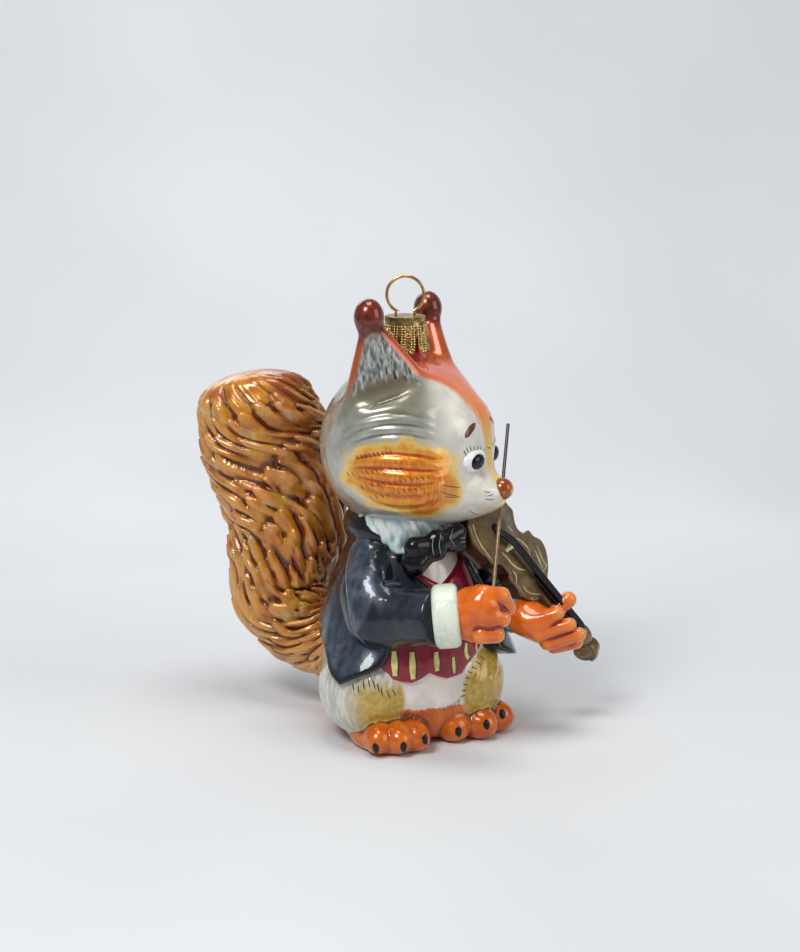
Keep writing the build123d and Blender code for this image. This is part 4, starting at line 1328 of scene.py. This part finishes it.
# Cap: stamped tin with a knurled rim, eight petals with beaded edges and a flower on each
cap_top, cap_low, cap_radius, skirt_radius, petal_count = 120.95, 110.8, 5.75, 6.75, 8
tin = 0.3                                          # thickness of the sheet
cap_turns, cap_rings = 320, 44
rim_share, knurl_count, knurl_depth = 0.12, 60, 0.10
emboss_depth, slot_half_share, slot_share = 0.22, 0.2, 0.55
lid_rows = ((5.55, 0.12), (5.2, 0.02), (3.4, 0.0), (1.6, 0.0), (0.05, 0.0))     # radius, height
bead_radius, bead_stand, flower_radius, flower_drop = 0.30, 0.12, 0.55, 5.0
bead_shares = 0.26 + 0.72 * np.arange(11) / 10     # of the way down the skirt
bead_sides = (-1, -0.5, 0.5, 1)                    # edges and ribs of a petal, from its middle


def skirt(s):
    """Radius of the skirt at a share of the way down it."""
    return cap_radius + (skirt_radius - cap_radius) * s**1.3


def round_place(r, a, z):
    """Places round the cap's axis."""
    return np.stack(np.broadcast_arrays(r * np.cos(a), r * np.sin(a), z), -1).reshape(-1, 3)


def cap_mesh():
    turns = np.arange(cap_turns) * 2 * math.pi / cap_turns
    s, a = np.meshgrid(np.linspace(0, 1, cap_rings), turns, indexing="ij")
    phase = (a * petal_count / (2 * math.pi)) % 1
    gap = 0.5 - np.abs(phase - 0.5)
    tip = 1 - slot_share * (1 - np.minimum(gap / slot_half_share, 1)) ** 2 * rise(s, 0, 1)
    knurl = knurl_depth * np.cos(a * knurl_count) * (1 - rise(s, rim_share - 0.02, rim_share + 0.02))
    emboss = emboss_depth * np.cos(14 * math.pi * s) * np.cos(6 * math.pi * phase) * rise(s, 0.2, 0.3)
    outer = round_place(skirt(s) + knurl + emboss, a, cap_top - s * (cap_top - cap_low) * tip)
    inner = outer * np.stack([1 - tin / np.hypot(outer[:, 0], outer[:, 1])] * 2 + [np.ones(len(outer))], -1)
    lid = [round_place(r, turns, cap_top + z) for r, z in lid_rows]
    wall = tube_faces(cap_rings, cap_turns)
    last = np.arange(len(outer) - cap_turns, len(outer))
    lid_rings = np.arange(len(lid) * cap_turns).reshape(len(lid), cap_turns) + 2 * len(outer)
    faces = [wall[:, ::-1], wall + len(outer), ring_faces(last, last + len(outer))[:, ::-1],
             ring_faces(np.arange(cap_turns), lid_rings[0])]
    faces += [ring_faces(*pair) for pair in zip(lid_rings[:-1], lid_rings[1:])]
    points = np.vstack((outer, inner, *lid))
    tin_mesh = make_mesh("cap_tin", points, np.vstack(faces))
    keep_fields(tin_mesh, {"bead": np.zeros(len(points))})
    return tin_mesh


def cap_beads():
    """Small balls along each petal's edges and ribs, and in a ring on its middle."""
    places = []
    s = bead_shares
    for n in range(petal_count):
        for side in bead_sides:
            phase = 0.5 + side * (0.36 - 0.22 * np.maximum(s - 0.8, 0) / 0.2)
            a = 2 * math.pi * (n + phase) / petal_count
            places.append(round_place(skirt(s) + bead_stand, a, cap_top - s * (cap_top - cap_low) * 0.97))
        middle = 2 * math.pi * (n + 0.5) / petal_count
        turns = np.arange(6) * math.pi / 3
        across = np.array((-math.sin(middle), math.cos(middle), 0)) * flower_radius
        r = (cap_radius + skirt_radius) / 2 + bead_stand
        places.append(round_place(r, middle, cap_top - flower_drop + flower_radius * np.sin(turns))
                      + np.cos(turns)[:, None] * across)
    places = np.vstack(places)
    lat, lon = np.meshgrid(np.radians((-60, -20, 20, 60)), np.radians(range(0, 360, 60)), indexing="ij")
    bead = bead_radius * np.stack((np.cos(lon) * np.cos(lat), np.sin(lon) * np.cos(lat), np.sin(lat)), -1)
    points = (places[:, None] + bead.reshape(-1, 3)).reshape(-1, 3)
    faces = np.arange(len(places))[:, None, None] * bead.size // 3 + tube_faces(*lat.shape)
    dots = make_mesh("cap_bead_set", points, faces.reshape(-1, 4))
    keep_fields(dots, {"bead": np.ones(len(points))})
    return dots


cap_piece = merged("cap_tin", cap_mesh(), cap_beads())
gold_tin = Coat("gold_tin", roughness=0.3, metallic=1.0, coat=0.1)
tin_tone = gold_tin.mottle(2.4, 3, (188, 158, 102), (116, 90, 50))
# Painted highlight: the beads are lighter gold than the tin they are stamped in
gold_tin.set("Base Color", gold_tin.mix(gold_tin.field("bead"), tin_tone, (226, 196, 132)))
dress(cap_piece, gold_tin, "gold_tin", "cap", "cap")

# Brush strokes, in pixels of the photograph
stroke_black = mottled("stroke_black", 1, 2, (22, 20, 20), (44, 38, 34))


def both_sides(places):
    """A stroke on the head's near side and its mirror image on the far one."""
    local = (np.asarray(places) - head_middle) @ head_frame.T
    return [places, head_middle + (local * (-1, 1, 1)) @ head_frame]


lash_rows = (
    ((466.6, 456.0), (463.6, 450.4)), ((468.6, 453.0), (466.2, 447.6)), ((471.4, 451.2), (470.0, 446.2)),
    ((474.2, 450.4), (473.8, 445.8)), ((477.2, 450.2), (477.6, 446.0)), ((480.2, 450.6), (481.4, 446.8)),
    ((483.0, 451.6), (484.8, 448.4)),
)
whisker_rows = (
    ((441.5, 484.5), (450, 486.5), (460.5, 487.6)), ((440.5, 491.5), (449, 494.5), (459, 496.4)),
    ((445, 496.5), (452, 497.2), (460, 497.0)),
)
muzzle_rows = (
    ((483.5, 491.0), (487.5, 492.2), (492.0, 491.6)), ((487.5, 495.8), (491.5, 495.2), (494.5, 492.6)),
    ((485, 499.0), (490, 499.8), (495.5, 498.6)),
)
mouth_row = ((468.5, 509.5), (474, 513.5), (482, 515.0), (490, 512.5))
black_strokes = []
for rows, width in ((lash_rows, 0.45), (whisker_rows, 0.36), (muzzle_rows, 0.3), ((mouth_row,), 0.4)):
    for row in rows:
        places = seen_row(row, head)
        black_strokes += [(line, width, 0.1) for line in both_sides(places)]
brush("face_strokes", head, black_strokes, 0.07, stroke_black, "gloss_black")
brow_row = ((465.2, 437.6), (470, 430.4), (475.4, 423.2))
brow_strokes = [(line, 2.6, 0.1) for line in both_sides(seen_row(brow_row, head))]
brow_paint = mottled("brow_paint", 1, 2, (112, 56, 36), (86, 42, 28))
brush("brow_strokes", head, brow_strokes, 0.12, brow_paint, "gold_brown")

# Silver lines on the bow tie
tie_rows = (
    ((433.6, 536), (432.4, 546), (434, 557)), ((440.4, 533), (439.4, 545), (441, 556)),
    ((452.6, 528), (451.6, 541), (453.4, 554)), ((460, 538.6), (466, 537.4)), ((460, 542.4), (466, 541.4)),
)
tie_strokes = [(seen_row(row, tie), 0.34, 0.1) for row in tie_rows]
silver_line = mottled("silver_line_paint", 1, 2, (150, 152, 150), (112, 114, 116))
brush("tie_silver_lines", tie, tie_strokes, 0.07, silver_line, "silver_grey")

# Fringe of fur where the belly meets the feet
fringe_row = ((398, 712), (412, 713), (426, 712), (440, 709), (452, 704), (460, 699))
fringe_strokes = []
for k, (x, y) in enumerate(through([(x, y, 0) for x, y in fringe_row], 26)[:, :2]):
    lean, drop = 0.8 * math.sin(k * 1.7), 5.0 + 2.5 * math.sin(k * 2.3)
    fringe_strokes.append((seen_row(((x, y - 1.5), (x + lean, y + drop)), body), 0.42, 0.05))
fringe_paint = mottled("fringe_paint", 1, 2, (138, 74, 28), (104, 50, 18))
brush("belly_fringe", body, fringe_strokes, 0.06, fringe_paint, "gold_brown", count=6, spread=3)

# Rows of short ticks on the cheek
tick_rows = (((357, 457.5), (391, 452), 9), ((348, 474), (401, 469), 12), ((362, 487), (428, 477), 13),
             ((371, 498), (421, 488), 10))
tick_strokes = []
for first, last, count in tick_rows:
    for x, y in np.linspace(first, last, count):
        places = seen_row(((x - 1.7, y - 2.1), (x + 1.7, y + 2.3)), head)
        tick_strokes += [(line, 0.62, 0.15) for line in both_sides(places)]
tick_paint = mottled("tick_paint", 1, 2, (96, 50, 20), (60, 28, 12))
brush("cheek_ticks", head, tick_strokes, 0.05, tick_paint, "gold_brown", count=5, spread=3)

# Bars of the waistcoat: a cream bar on a black one. Each has its column, top, bottom and width
pixel_mm = 3.6                              # pixels of the photograph to a millimetre
bar_rows = ((394.5, 651, 676, 6.5), (412.5, 652, 679, 6.5), (436.5, 652, 671, 6),
            (453.5, 657, 673, 4), (466.5, 643, 667, 5), (476.5, 643, 656, 4))
cream_bars, black_bars = [], []
for x, top, bottom, width in bar_rows:
    places = seen_row(np.linspace((x - 0.5, top), (x + 0.5, bottom), 3), waistcoat)
    black_bars.append((places + camera_right * 0.45, (width + 2.2) / pixel_mm, 0.8))
    cream_bars.append((places, width / pixel_mm, 0.75))
brush("waistcoat_bars_black", waistcoat, black_bars, 0.12, stroke_black, "gloss_black")
bar_paint = mottled("bar_paint", 1.5, 3, (226, 212, 140), (190, 172, 96))
brush("waistcoat_bars_cream", waistcoat, cream_bars, 0.26, bar_paint, "cream_mint", sunk=-0.12)

# Fur strokes on the thighs, and the claws
fur_rows = (
    ((352.5, 683), (354, 691)), ((358, 685), (359, 694)), ((363, 680), (364.5, 690)),
    ((368, 678), (370, 688)), ((372.5, 679), (375.5, 690)), ((377, 683), (379.5, 693)),
    ((381, 687), (382.5, 696)), ((387, 690), (390, 699)), ((392, 689), (396, 697)),
    ((484.5, 651), (489, 656)), ((480, 656), (485, 660)), ((475.5, 661), (481, 665)),
    ((471, 666), (477, 669)), ((467.5, 671), (473, 674)), ((465, 677), (470, 679)),
    ((463, 684), (468, 685)), ((461.5, 691), (467, 690)), ((460, 697), (466, 695)),
    ((490, 650), (492, 654)), ((496, 651), (498, 655)),
)
fur_strokes = [(seen_row(row, body), 0.5, 0.1) for row in fur_rows]
brush("thigh_fur_strokes", body, fur_strokes, 0.07, stroke_black, "gloss_black", count=7)
claw_rows = ((375.6, 748), (403.8, 747), (425.2, 739), (458.6, 731.5), (486.8, 724.5), (502.6, 714))
claw_strokes = [(seen_row(((x - 0.8, y - 5), (x, y), (x + 0.4, y + 5)), body), 2.2, 0.12)
                for x, y in claw_rows]
brush("claw_strokes", body, claw_strokes, 0.5, gloss_black, "gloss_black", "claws", count=10)

# Camera
sensor_height = 36.0
camera = bpy.data.objects.new("camera", bpy.data.cameras.new("camera"))
bpy.context.scene.collection.objects.link(camera)
rows = np.column_stack((camera_right, camera_up, camera_back))
camera.matrix_world = Matrix([[*rows[i], camera_place[i] * mm] for i in range(3)] + [[0, 0, 0, 1]])
camera.data.sensor_fit = "VERTICAL"
camera.data.sensor_height = sensor_height
camera.data.lens = focal_px * sensor_height / photo_size[1]
camera.data.clip_start = 0.01
bpy.context.scene.camera = camera

# Floor and backdrop in one sweep, squared to the camera
floor_end, sweep_radius, sweep_half, sweep_columns = 250, 260, 900, 13
sweep_rows = [(-700, 0), (-300, 0), (floor_end, 0)]                # distance away and height
for a in np.radians(range(6, 85, 6)):
    sweep_rows.append((floor_end + sweep_radius * math.sin(a), sweep_radius * (1 - math.cos(a))))
sweep_rows.append((620, 900))
points = []
for away, z in sweep_rows:
    for side in np.linspace(-sweep_half, sweep_half, sweep_columns):
        points.append(camera_right * side - level_back * away + (0, 0, z))
numbers = np.arange(len(points)).reshape(-1, sweep_columns)
corners = numbers[:-1, :-1], numbers[:-1, 1:], numbers[1:, 1:], numbers[1:, :-1]
sweep = make_mesh("sweep", points, np.stack([c.ravel() for c in corners], -1))
paper = Coat("sweep_paper", roughness=0.9, coat=0.0)
# Painted light: the paper is lighter further away, on the far floor and backdrop
near_paper = paper.mottle(160, 2, (210, 212, 214), (216, 218, 219))
far_paper = paper.mottle(220, 2, (223, 226, 229), (233, 235, 238))
paper.set("Base Color", paper.mix(paper.edge(paper.field("away"), 0, 260), near_paper, far_paper))
keep_fields(sweep, {"away": [away for away, z in sweep_rows for _ in range(sweep_columns)]})
sweep.data.materials.append(paper.material)


lamp_aim = np.array((0, 0, 65))
world_colour, world_strength = (226, 229, 234), 0.36


def lamp(name, turn, height, distance, sides, power):
    """A soft lamp with four corners that looks at the figure."""
    data = bpy.data.lights.new(name, "AREA")
    data.shape, data.size, data.size_y = "RECTANGLE", sides[0] * mm, sides[1] * mm
    data.energy = power
    obj = bpy.data.objects.new(name, data)
    bpy.context.scene.collection.objects.link(obj)
    a = math.radians(turn)
    place = np.array((math.sin(a) * distance, -math.cos(a) * distance, height))
    aim = Vector(lamp_aim - place)
    obj.rotation_euler = aim.to_track_quat("-Z", "Y").to_euler()
    obj.location = Vector(place * mm)


# Name, degrees round from the front, height, distance, sides and power of each
lamp_rows = (("key", -62, 520, 420, (220, 190), 2.2), ("top", -10, 760, 60, (300, 300), 1.9),
             ("fill", 38, 300, 620, (360, 420), 1.0), ("back", 170, 420, 520, (420, 260), 0.7))
for row in lamp_rows:
    lamp(*row)
world = bpy.data.worlds.new("studio")
world.use_nodes = True
background = world.node_tree.nodes["Background"]
background.inputs["Color"].default_value = srgb(*world_colour)
background.inputs["Strength"].default_value = world_strength
bpy.context.scene.world = world
bpy.context.scene.view_settings.view_transform = "Standard"
